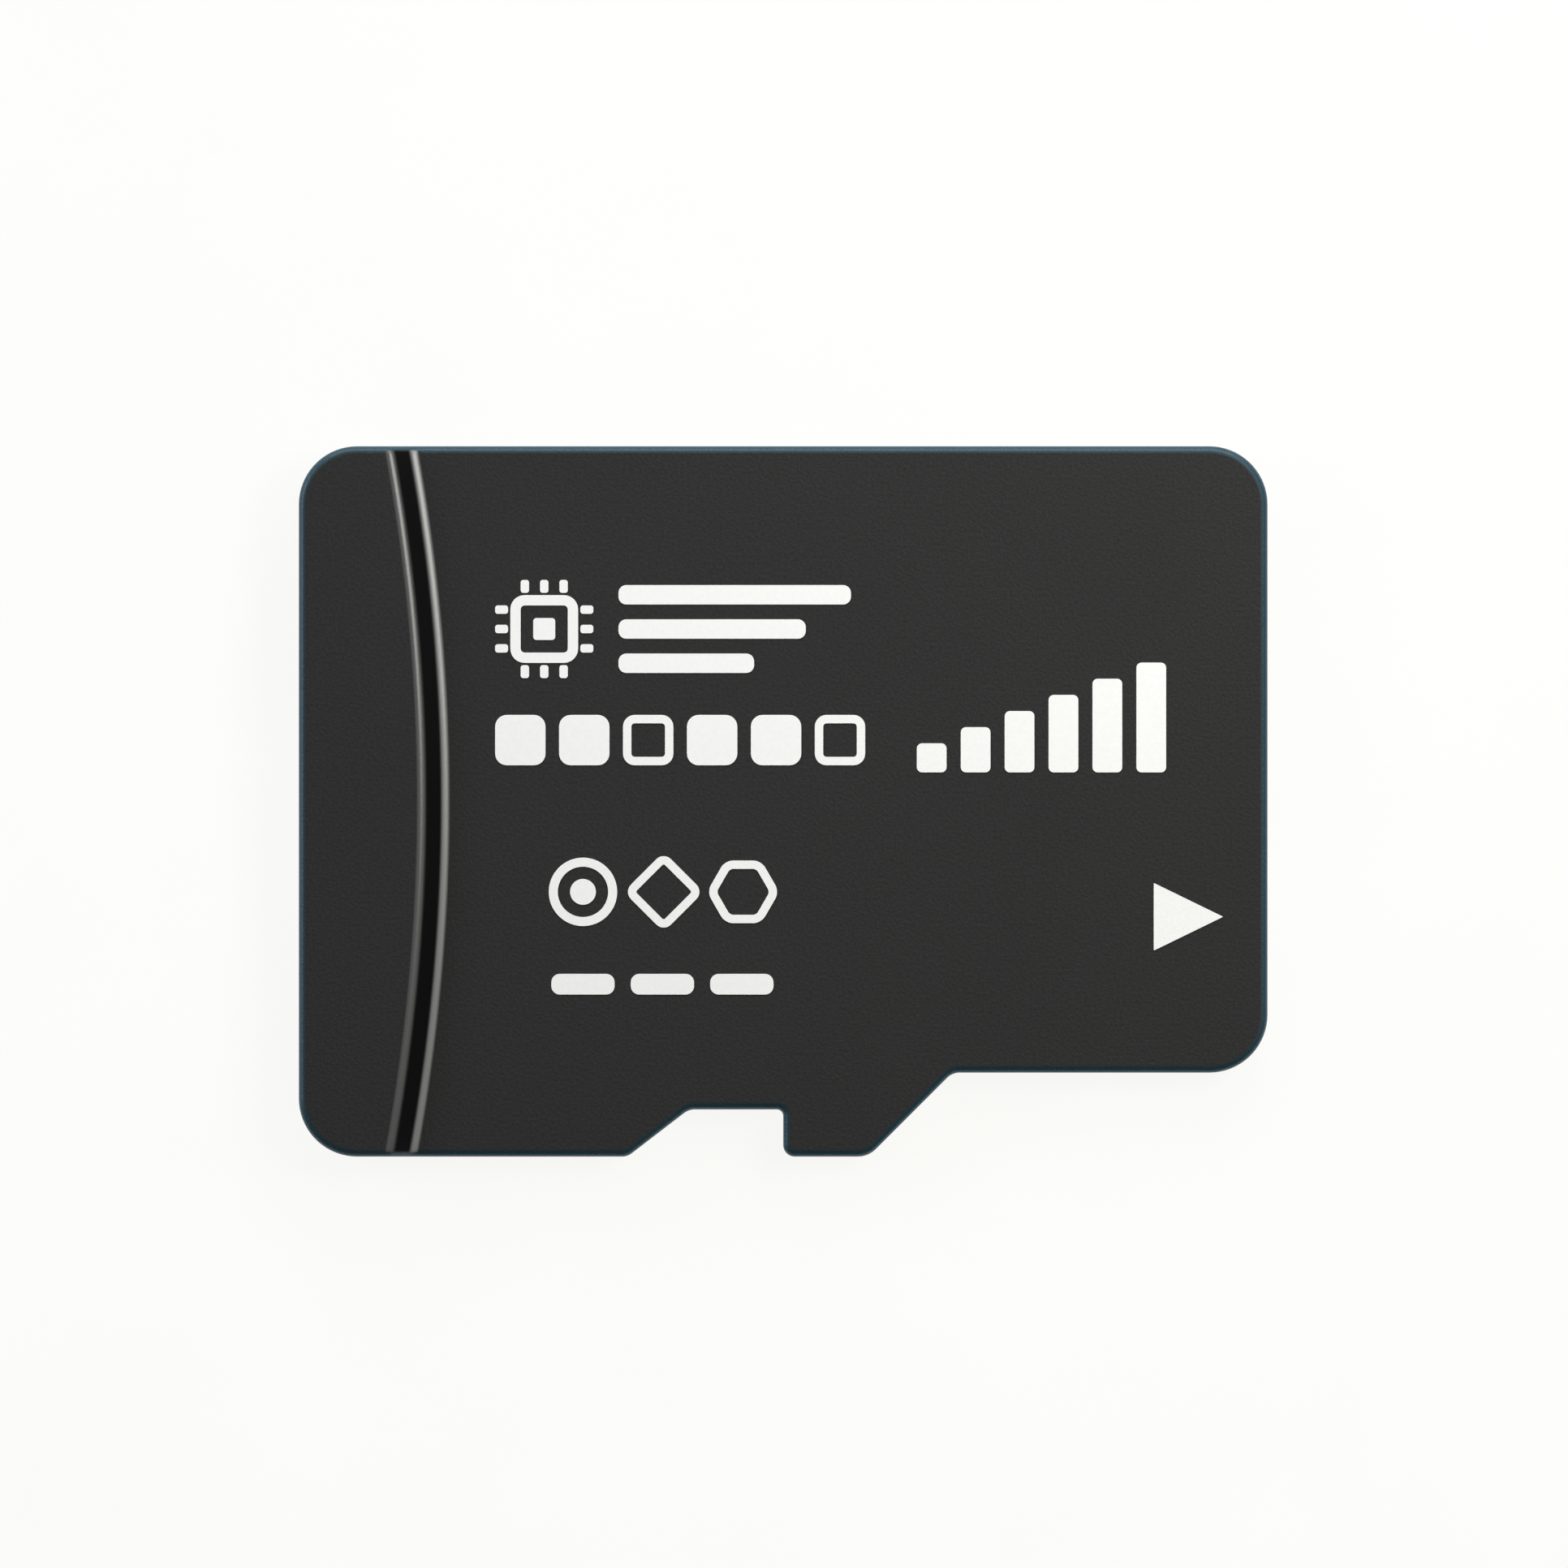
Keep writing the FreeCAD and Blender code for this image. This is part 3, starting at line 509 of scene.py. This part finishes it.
drawn = add_node(tree, "ShaderNodeMix", links={0: at_contacts.outputs[0], 2: field.outputs[0],
                                               3: neck.outputs[0]})
up = add_node(tree, "ShaderNodeSeparateXYZ", links={0: place.outputs["Normal"]})
level = add_node(tree, "ShaderNodeMath", links={0: up.outputs[2]}, operation="ABSOLUTE")
face = add_node(tree, "ShaderNodeMapRange", {1: 0.5, 2: 0.7}, {0: level.outputs[0]}).outputs[0]
copper = add_node(tree, "ShaderNodeMath", links={0: drawn.outputs[0], 1: face},
                  operation="MULTIPLY").outputs[0]
print("necks every", CONTACT_PITCH, "mm from", round(row_start / MM, 2), "mm")

# %% Solder mask over laminate
# Black lacquer over glass cloth and copper: a soft satin with a tinge of green, where the copper
# under it shows as paler lines that stand up a hundredth of a millimetre.
PLY, FIBRE, COPPER_STEP = 0.05, 0.12, 0.01
fibre = add_node(tree, "ShaderNodeTexNoise", {"Scale": per_mm(FIBRE), "Detail": 2},
                 {"Vector": place.outputs["Object"]})
lacquer = add_node(tree, "ShaderNodeMix", {6: linear("#0c0f0e"), 7: linear("#141817")},
                   {0: fibre.outputs[0]}, data_type="RGBA")
tracked = add_node(tree, "ShaderNodeMix", {7: linear("#454c3e")}, {0: copper, 6: lacquer.outputs[2]},
                   data_type="RGBA")
plies = add_node(tree, "ShaderNodeTexWave", {"Scale": WAVE * per_mm(PLY), "Distortion": 2},
                 {"Vector": place.outputs["Object"]}, bands_direction="Z")
sawn = add_node(tree, "ShaderNodeMix", {6: linear("#1b1d18"), 7: linear("#2b2c25")},
                {0: plies.outputs[0]}, data_type="RGBA")
laminate = add_node(tree, "ShaderNodeMix", links={0: face, 6: sawn.outputs[2], 7: tracked.outputs[2]},
                    data_type="RGBA")
tree.links.new(laminate.outputs[2], shader.inputs["Base Color"])
gloss = add_node(tree, "ShaderNodeMapRange", {3: 0.34, 4: 0.5}, {0: fibre.outputs[0]})
matt = add_node(tree, "ShaderNodeMix", {2: 0.7}, {0: face, 3: gloss.outputs[0]})
tree.links.new(matt.outputs[0], shader.inputs["Roughness"])
relief = add_node(tree, "ShaderNodeBump", {"Strength": 0.7, "Distance": COPPER_STEP * MM}, {"Height": copper})
tree.links.new(relief.outputs[0], shader.inputs["Normal"])
print("solder mask:", len(tree.nodes), "nodes")

# %% [markdown]
# ## The contacts
#
# Each contact is copper with nickel and a skin of hard gold, plated to a satin finish. Every trip
# into a socket draws fine lines along it, lengthwise, so the scratch pattern is stretched along X.

# %% Hard gold plating
# Hard gold plated over nickel: pale yellow and satin. The real scratches are a few thousandths of a
# millimetre wide; they are drawn coarser so that they show.
SCRATCH, TARNISH = 0.03, 0.6
gold, tree, shader = new_finish("hard_gold_plating", Metallic=1.0)
place = add_node(tree, "ShaderNodeTexCoord")
drawn = add_node(tree, "ShaderNodeMapping", {"Scale": (0.04, 1, 1)}, {"Vector": place.outputs["Object"]})
strokes = add_node(tree, "ShaderNodeTexNoise", {"Scale": per_mm(SCRATCH), "Detail": 2},
                   {"Vector": drawn.outputs[0]})
tarnish = add_node(tree, "ShaderNodeTexNoise", {"Scale": per_mm(TARNISH), "Detail": 3},
                   {"Vector": place.outputs["Object"]})
warm = add_node(tree, "ShaderNodeMix", {6: linear("#e6c06a"), 7: linear("#d3a54a")},
                {0: tarnish.outputs[0]}, data_type="RGBA")
tree.links.new(warm.outputs[2], shader.inputs["Base Color"])
satin = add_node(tree, "ShaderNodeMapRange", {1: 0.3, 2: 0.7, 3: 0.24, 4: 0.42}, {0: strokes.outputs[0]})
tree.links.new(satin.outputs[0], shader.inputs["Roughness"])
relief = add_node(tree, "ShaderNodeBump", {"Strength": 0.3, "Distance": 0.002 * MM},
                  {"Height": strokes.outputs[0]})
tree.links.new(relief.outputs[0], shader.inputs["Normal"])
print("gold plating:", len(tree.nodes), "nodes")

# %% [markdown]
# ## What is sealed inside
#
# The chips are silicon, ground on the back and sawn at the sides; the bond wires are drawn gold; the
# small parts on the board are fired ceramic and glazed alumina with tinned ends. None of them shows
# while the card is whole, but a cutaway would show them, so each has its finish. The tinned ends
# are found by the distance from the middle of each small part, so that finish is made once per part.

# %% Silicon
# Silicon, ground on a wheel: slate grey, half a mirror, with faint swirls.
SWIRL = 0.4
silicon, tree, shader = new_finish("ground_silicon", Metallic=0.6)
place = add_node(tree, "ShaderNodeTexCoord")
marks = add_node(tree, "ShaderNodeTexWave", {"Scale": WAVE * per_mm(SWIRL), "Distortion": 3, "Detail": 2},
                 {"Vector": place.outputs["Object"]})
slate = add_node(tree, "ShaderNodeMix", {6: linear("#4b5058"), 7: linear("#5d636c")},
                 {0: marks.outputs[0]}, data_type="RGBA")
tree.links.new(slate.outputs[2], shader.inputs["Base Color"])
ground = add_node(tree, "ShaderNodeMapRange", {3: 0.22, 4: 0.36}, {0: marks.outputs[0]})
tree.links.new(ground.outputs[0], shader.inputs["Roughness"])
print("silicon:", len(tree.nodes), "nodes")

# %% Bond gold
# Fine gold, drawn through a die: bright yellow, smooth, with faint dull patches.
PATCH = 0.05
wire_gold, tree, shader = new_finish("drawn_gold_wire", Metallic=1.0)
place = add_node(tree, "ShaderNodeTexCoord")
patches = add_node(tree, "ShaderNodeTexNoise", {"Scale": per_mm(PATCH)}, {"Vector": place.outputs["Object"]})
yellow = add_node(tree, "ShaderNodeMix", {6: linear("#f0c870"), 7: linear("#dcae52")},
                  {0: patches.outputs[0]}, data_type="RGBA")
tree.links.new(yellow.outputs[2], shader.inputs["Base Color"])
drawn = add_node(tree, "ShaderNodeMapRange", {3: 0.18, 4: 0.32}, {0: patches.outputs[0]})
tree.links.new(drawn.outputs[0], shader.inputs["Roughness"])
print("wire:", len(tree.nodes), "nodes")


# %% Ceramic with tinned ends
TIN_FROM = 0.27  # share of the part's length, from its middle
SPECK = 0.04


def tinned_ceramic(node, body_colour):
    """Fired ceramic, dull and speckled, whose ends along the long side are tinned and bright."""
    low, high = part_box(node)
    middle, size = (low + high) / 2, high - low
    along = 0 if size.x > size.y else 1
    finish, tree, shader = new_finish(f"tinned_ceramic_{node}", IOR=1.6)
    place = add_node(tree, "ShaderNodeTexCoord")
    centred = add_node(tree, "ShaderNodeMapping", {"Location": [-v for v in middle]},
                       {"Vector": place.outputs["Object"]})
    axes = add_node(tree, "ShaderNodeSeparateXYZ", links={0: centred.outputs[0]})
    out = add_node(tree, "ShaderNodeMath", links={0: axes.outputs[along]}, operation="ABSOLUTE")
    tin = add_node(tree, "ShaderNodeMath", {1: size[along] * TIN_FROM}, {0: out.outputs[0]},
                   operation="GREATER_THAN")
    fired = add_node(tree, "ShaderNodeTexNoise", {"Scale": per_mm(SPECK)},
                     {"Vector": place.outputs["Object"]})
    clay = add_node(tree, "ShaderNodeMix", {6: linear(body_colour), 7: linear("#4a3a2c")},
                    {0: fired.outputs[0]}, data_type="RGBA")
    capped = add_node(tree, "ShaderNodeMix", {7: linear("#c9c9c6")},
                      {0: tin.outputs[0], 6: clay.outputs[2]}, data_type="RGBA")
    tree.links.new(capped.outputs[2], shader.inputs["Base Color"])
    tree.links.new(tin.outputs[0], shader.inputs["Metallic"])
    glaze = add_node(tree, "ShaderNodeMapRange", {3: 0.3, 4: 0.5}, {0: fired.outputs[0]})
    tree.links.new(glaze.outputs[0], shader.inputs["Roughness"])
    return finish


print("small parts:", [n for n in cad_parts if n.startswith(("capacitor", "resistor"))])


# %% Give every loaded node its finish
def finish_for(node):
    """The finish of a loaded node, by its name."""
    if node == "moulded_body":
        return compound
    if node == "substrate_board":
        return solder_mask
    if node.startswith("contact_pad"):
        return gold
    if "wires" in node:
        return wire_gold
    if "die" in node:
        return silicon
    return tinned_ceramic(node, "#8f7a60" if node.startswith("capacitor") else "#26262a")


for node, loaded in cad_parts.items():
    finish = finish_for(node)
    for held in loaded.material_slots:
        held.material = finish
print("finishes:", sorted({o.material_slots[0].material.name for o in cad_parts.values()}))

# %% [markdown]
# ## The print
#
# The label face is pad printed in white: a soft pad lifts a film of ink from an etched plate and
# lays it on the resin, about a hundredth of a millimetre thick. Each shape is drawn flat from a
# primitive, its corners rounded in edit mode, and then extruded by the thickness of the ink. The
# arrow tells which end goes in first. The other shapes are plain fields and signs: a chip, lines,
# cells, rising bars and rings. One leg, one cell, one bar is drawn, and the rest are copies of it,
# moved, turned or pulled longer by one end.

# %% The ink
# Two-part ink, pad printed: an even white, faintly chalky.
FACE = LABEL_FACE * MM
INK = 0.012 * MM
CHALK = 0.07
ink, tree, shader = new_finish("white_pad_print_ink", IOR=1.5)
place = add_node(tree, "ShaderNodeTexCoord")
speck = add_node(tree, "ShaderNodeTexNoise", {"Scale": per_mm(CHALK), "Detail": 2},
                 {"Vector": place.outputs["Object"]})
white = add_node(tree, "ShaderNodeMix", {6: linear("#f7f5f1"), 7: linear("#fffdf9")},
                 {0: speck.outputs[0]}, data_type="RGBA")
tree.links.new(white.outputs[2], shader.inputs["Base Color"])
chalk = add_node(tree, "ShaderNodeMapRange", {3: 0.5, 4: 0.62}, {0: speck.outputs[0]})
tree.links.new(chalk.outputs[0], shader.inputs["Roughness"])
print("ink film", INK / MM, "mm on the face at", FACE / MM, "mm")


# %% Films of ink
CORNER_STEPS = 6


def lay_ink(name, rounding=0.0, ring=0.0):
    """Turn the flat face that is being made into a film of ink: rounded, hollowed, then thick."""
    bpy.ops.object.mode_set(mode="EDIT")
    bpy.ops.mesh.select_all(action="SELECT")
    if rounding:
        bpy.ops.mesh.bevel(offset=rounding * MM, segments=CORNER_STEPS, affect="VERTICES",
                           clamp_overlap=True)
        bpy.ops.mesh.select_all(action="SELECT")
    if ring:
        bpy.ops.mesh.inset(thickness=ring * MM, depth=0)
        bpy.ops.mesh.delete(type="FACE")
        bpy.ops.mesh.select_all(action="SELECT")
    bpy.ops.mesh.extrude_region_move(TRANSFORM_OT_translate={"value": (0, 0, INK)})
    bpy.ops.mesh.select_all(action="SELECT")
    bpy.ops.mesh.normals_make_consistent(inside=False)
    settle()
    bpy.ops.object.mode_set(mode="OBJECT")
    film = bpy.context.object
    film.name = film.data.name = name
    bpy.ops.object.transform_apply(location=True, rotation=True, scale=True)
    return film


def block(name, x, y, wide, high, rounding=0.06, ring=0.0):
    """A rounded block of ink, by its middle and its size in millimetres."""
    bpy.ops.object.select_all(action="DESELECT")
    bpy.ops.mesh.primitive_plane_add(size=MM, location=(x * MM, y * MM, FACE))
    bpy.ops.object.mode_set(mode="EDIT")
    bpy.ops.transform.resize(value=(wide, high, 1))
    return lay_ink(name, rounding, ring)


def disc(name, x, y, radius, ring=0.0, corners=64, rounding=0.0, turn=0.0):
    """A round or many-cornered patch of ink, full or as a ring."""
    bpy.ops.object.select_all(action="DESELECT")
    bpy.ops.mesh.primitive_circle_add(vertices=corners, radius=radius * MM, fill_type="NGON",
                                      location=(x * MM, y * MM, FACE),
                                      rotation=(0, 0, math.radians(turn)))
    return lay_ink(name, rounding, ring)


films = []
print("films are rounded in", CORNER_STEPS, "steps a corner")


# %% Copies of films
def copy_film(film, x=0.0, y=0.0, turn=0.0, about=(0.0, 0.0)):
    """A copy of a film with its own mesh, turned about a place and moved, in millimetres."""
    take(film)
    bpy.ops.object.duplicate(linked=False)
    bpy.ops.transform.rotate(value=math.radians(turn), orient_axis="Z",
                             center_override=(about[0] * MM, about[1] * MM, 0))
    bpy.ops.transform.translate(value=(x * MM, y * MM, 0))
    bpy.ops.object.transform_apply(location=True, rotation=True, scale=True)
    return bpy.context.object


def pull(film, test, x=0.0, y=0.0):
    """Pull the end of a film that passes the test, so that its rounded corners keep their size."""
    take(film)
    bpy.ops.object.mode_set(mode="EDIT")
    pick(test)
    bpy.ops.transform.translate(value=(x * MM, y * MM, 0))
    bpy.ops.object.mode_set(mode="OBJECT")


print("a copy takes a turn, a place and a pull")

# %% The arrow
bpy.ops.object.select_all(action="DESELECT")
bpy.ops.mesh.primitive_circle_add(vertices=3, radius=0.717 * MM, fill_type="NGON",
                                  location=(6.097 * MM, -1.786 * MM, FACE),
                                  rotation=(0, 0, math.radians(-90)))
bpy.ops.object.mode_set(mode="EDIT")
bpy.ops.transform.resize(value=(1, 0.844, 1))
films.append(lay_ink("arrow", 0.015))
print("arrow", [round(v / MM, 2) for v in films[-1].dimensions])

# %% The chip sign with its legs
CHIP = (-3.7, 2.67)
films.append(block("chip_frame", *CHIP, 1.05, 1.05, 0.22, 0.16))
films.append(block("chip_core", *CHIP, 0.34, 0.34, 0.05))
leg = block("chip_leg", CHIP[0] + 0.66, CHIP[1] - 0.3, 0.2, 0.13, 0.04)
legs = [leg, copy_film(leg, y=0.3), copy_film(leg, y=0.6)]
for turn in (90, 180, 270):
    films += [copy_film(film, turn=turn, about=CHIP) for film in legs]
films += legs
print("films so far:", len(films))

# %% The three lines
line = block("line", -0.75, 3.2, 3.6, 0.3, 0.12)
films.append(line)
for row, shorter in ((1, 0.7), (2, 1.5)):
    films.append(copy_film(line, y=-0.53 * row))
    pull(films[-1], lambda spot: spot.x > 0, x=-shorter)
print("line lengths in mm:", [round(film.dimensions.x / MM, 2) for film in films[-3:]])

# %% The cells, full and open
CELL_STEP = 0.99
full_cell = block("full_cell", -4.07, 0.95, 0.78, 0.78, 0.18)
open_cell = block("open_cell", -4.07 + 2 * CELL_STEP, 0.95, 0.78, 0.78, 0.18, 0.13)
films += [full_cell, open_cell, copy_film(open_cell, x=3 * CELL_STEP)]
films += [copy_film(full_cell, x=cell * CELL_STEP) for cell in (1, 3, 4)]
print("films so far:", len(films))

# %% The rising bars
BAR_FOOT = 0.45
bar = block("rising_bar", 2.3, BAR_FOOT + 0.225, 0.46, 0.45, 0.08)
films.append(bar)
for step in range(1, 6):
    films.append(copy_film(bar, x=0.68 * step))
    pull(films[-1], lambda spot: spot.y > BAR_FOOT + 0.225, y=0.25 * step)
print("tallest bar in mm:", round(films[-1].dimensions.y / MM, 2))

# %% The small signs
SIGNS = -1.4
films.append(disc("ring", -3.1, SIGNS, 0.53, 0.14))
films.append(disc("ring_dot", -3.1, SIGNS, 0.2))
films.append(disc("diamond", -1.85, SIGNS, 0.62, 0.13, 4, 0.16))
films.append(disc("hexagon", -0.62, SIGNS, 0.56, 0.13, 6, 0.12, 30))
dash = block("dash", -3.1, -2.83, 0.98, 0.32, 0.13)
films += [dash, copy_film(dash, x=1.23), copy_film(dash, x=2.46)]
print("films:", len(films))

# %% One print of all the films
take(*reversed(films))
bpy.ops.object.join()
label = bpy.context.object
label.name = label.data.name = "label_print"
label.data.materials.clear()
label.data.materials.append(ink)
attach(label, "root")
print("print:", len(label.data.polygons), "faces")

# %% [markdown]
# ## Floor, light and camera
#
# The card lies on a white sheet and is seen from straight above, as on a copy stand. The sheet is
# mostly self-lit for the camera, so that it stays white while it keeps a soft shadow, and it is
# clear from below, so that the underside can be looked at. A broad softbox far behind the card and
# a low one at its left light the rim, a small one above gives the face its slow fall-off, and a slim
# one to the right draws the two bright lines along the thumb ridge. Together with the pale
# surroundings they add up to one plain level of light.

# %% The floor and its paper
# Uncoated paper: white and matt, with a faint cloud of pulp.
FLOOR_RADIUS, FLOOR_GAP, PULP = 400, 0.02, 3
bpy.ops.object.select_all(action="DESELECT")
bpy.ops.mesh.primitive_circle_add(vertices=96, radius=FLOOR_RADIUS * MM, fill_type="NGON",
                                  location=(0, 0, -FLOOR_GAP * MM))
floor = bpy.context.object
floor.name = "white_sheet"
sheet, tree, shader = new_finish("white_card_sheet", Roughness=0.9)
floor.data.materials.append(sheet)
place = add_node(tree, "ShaderNodeTexCoord")
pulp = add_node(tree, "ShaderNodeTexNoise", {"Scale": per_mm(PULP)}, {"Vector": place.outputs["Object"]})
paper = add_node(tree, "ShaderNodeMix", {6: linear("#fdfdfa"), 7: linear("#fffffd")},
                 {0: pulp.outputs[0]}, data_type="RGBA")
tree.links.new(paper.outputs[2], shader.inputs["Base Color"])
print("floor", 2 * FLOOR_RADIUS, "mm across")

# %% How the floor is seen
SELF_LIT = 0.92
glow = add_node(tree, "ShaderNodeEmission", {"Strength": 1.0}, {"Color": paper.outputs[2]})
ray = add_node(tree, "ShaderNodeLightPath")
seen = add_node(tree, "ShaderNodeMath",
                links={0: ray.outputs["Is Camera Ray"], 1: ray.outputs["Is Glossy Ray"]},
                operation="MAXIMUM")
seen_too = add_node(tree, "ShaderNodeMath",
                    links={0: seen.outputs[0], 1: ray.outputs["Is Transmission Ray"]},
                    operation="MAXIMUM")
share = add_node(tree, "ShaderNodeMath", {1: SELF_LIT}, {0: seen_too.outputs[0]}, operation="MULTIPLY")
both = add_node(tree, "ShaderNodeMixShader",
                links={0: share.outputs[0], 1: shader.outputs[0], 2: glow.outputs[0]})
side = add_node(tree, "ShaderNodeNewGeometry")
clear = add_node(tree, "ShaderNodeBsdfTransparent")
one_way = add_node(tree, "ShaderNodeMixShader",
                   links={0: side.outputs["Backfacing"], 1: both.outputs[0], 2: clear.outputs[0]})
tree.links.new(one_way.outputs[0], tree.nodes["Material Output"].inputs["Surface"])
print("floor is", SELF_LIT, "self-lit for the camera")

# %% The surroundings
HORIZON, ZENITH = 0.07, 0.14
world = bpy.data.worlds.new("pale_studio")
bpy.context.scene.world = world
world.use_nodes = True
tree = world.node_tree
ray = add_node(tree, "ShaderNodeLightPath")
seen = add_node(tree, "ShaderNodeMath",
                links={0: ray.outputs["Is Camera Ray"], 1: ray.outputs["Is Transmission Ray"]},
                operation="MAXIMUM")
towards = add_node(tree, "ShaderNodeTexCoord")
height = add_node(tree, "ShaderNodeSeparateXYZ", links={0: towards.outputs["Generated"]})
rise = add_node(tree, "ShaderNodeMapRange", {1: 0.1, 2: 1.0, 3: HORIZON, 4: ZENITH},
                {0: height.outputs[2]})
room = add_node(tree, "ShaderNodeBackground", {"Color": linear("#f4f6f6")}, {"Strength": rise.outputs[0]})
paper_sky = add_node(tree, "ShaderNodeBackground", {"Color": linear("#fdfdfc"), "Strength": 1.0})
choice = add_node(tree, "ShaderNodeMixShader",
                  links={0: seen.outputs[0], 1: room.outputs[0], 2: paper_sky.outputs[0]})
tree.links.new(choice.outputs[0], tree.nodes["World Output"].inputs["Surface"])
print("surroundings from", HORIZON, "at the horizon to", ZENITH, "overhead")


# %% The lamps
def softbox(name, place, wide, high, share, colour="#ffffff"):
    """An area lamp, in metres, aimed at the card: it gives this share of the plain level there."""
    lamp = bpy.data.lights.new(name, "AREA")
    lamp.shape = "RECTANGLE"
    lamp.size, lamp.size_y = wide, high
    lamp.color = linear(colour)[:3]
    away = math.sqrt(sum(v * v for v in place))
    lamp.energy = share * math.pi ** 2 * away ** 2 * away / place[2]
    stand = bpy.data.objects.new(name, lamp)
    bpy.context.collection.objects.link(stand)
    stand.location = place
    stand.rotation_euler = (-Vector(place)).to_track_quat("-Z", "Y").to_euler()
    print(name, "gives", share, "of the plain level with", round(lamp.energy, 3), "watts")


softbox("back_softbox", (0.0, 0.07, 0.03), 0.1, 0.03, 0.31, "#f0f7ff")
softbox("upper_softbox", (0.014, 0.024, 0.025), 0.016, 0.012, 0.16)
softbox("left_softbox", (-0.07, 0.02, 0.028), 0.05, 0.02, 0.13, "#eef6ff")
softbox("right_strip", (0.036, 0.014, 0.05), 0.022, 0.03, 0.38, "#fffdf8")

# %% The camera
VIEW_WIDTH, STAND_HEIGHT = 24.28, 100
MIDDLE_OF_VIEW = (0.013, 0.27)
lens = bpy.data.cameras.new("copy_stand_camera")
lens.type = "ORTHO"
lens.ortho_scale = VIEW_WIDTH * MM
lens.clip_start, lens.clip_end = 0.001, 2.0
camera = bpy.data.objects.new("copy_stand_camera", lens)
bpy.context.collection.objects.link(camera)
camera.location = (MIDDLE_OF_VIEW[0] * MM, MIDDLE_OF_VIEW[1] * MM, STAND_HEIGHT * MM)
bpy.context.scene.camera = camera
bpy.context.scene.view_settings.view_transform = "Standard"
print("camera", [round(v / MM, 2) for v in camera.location])
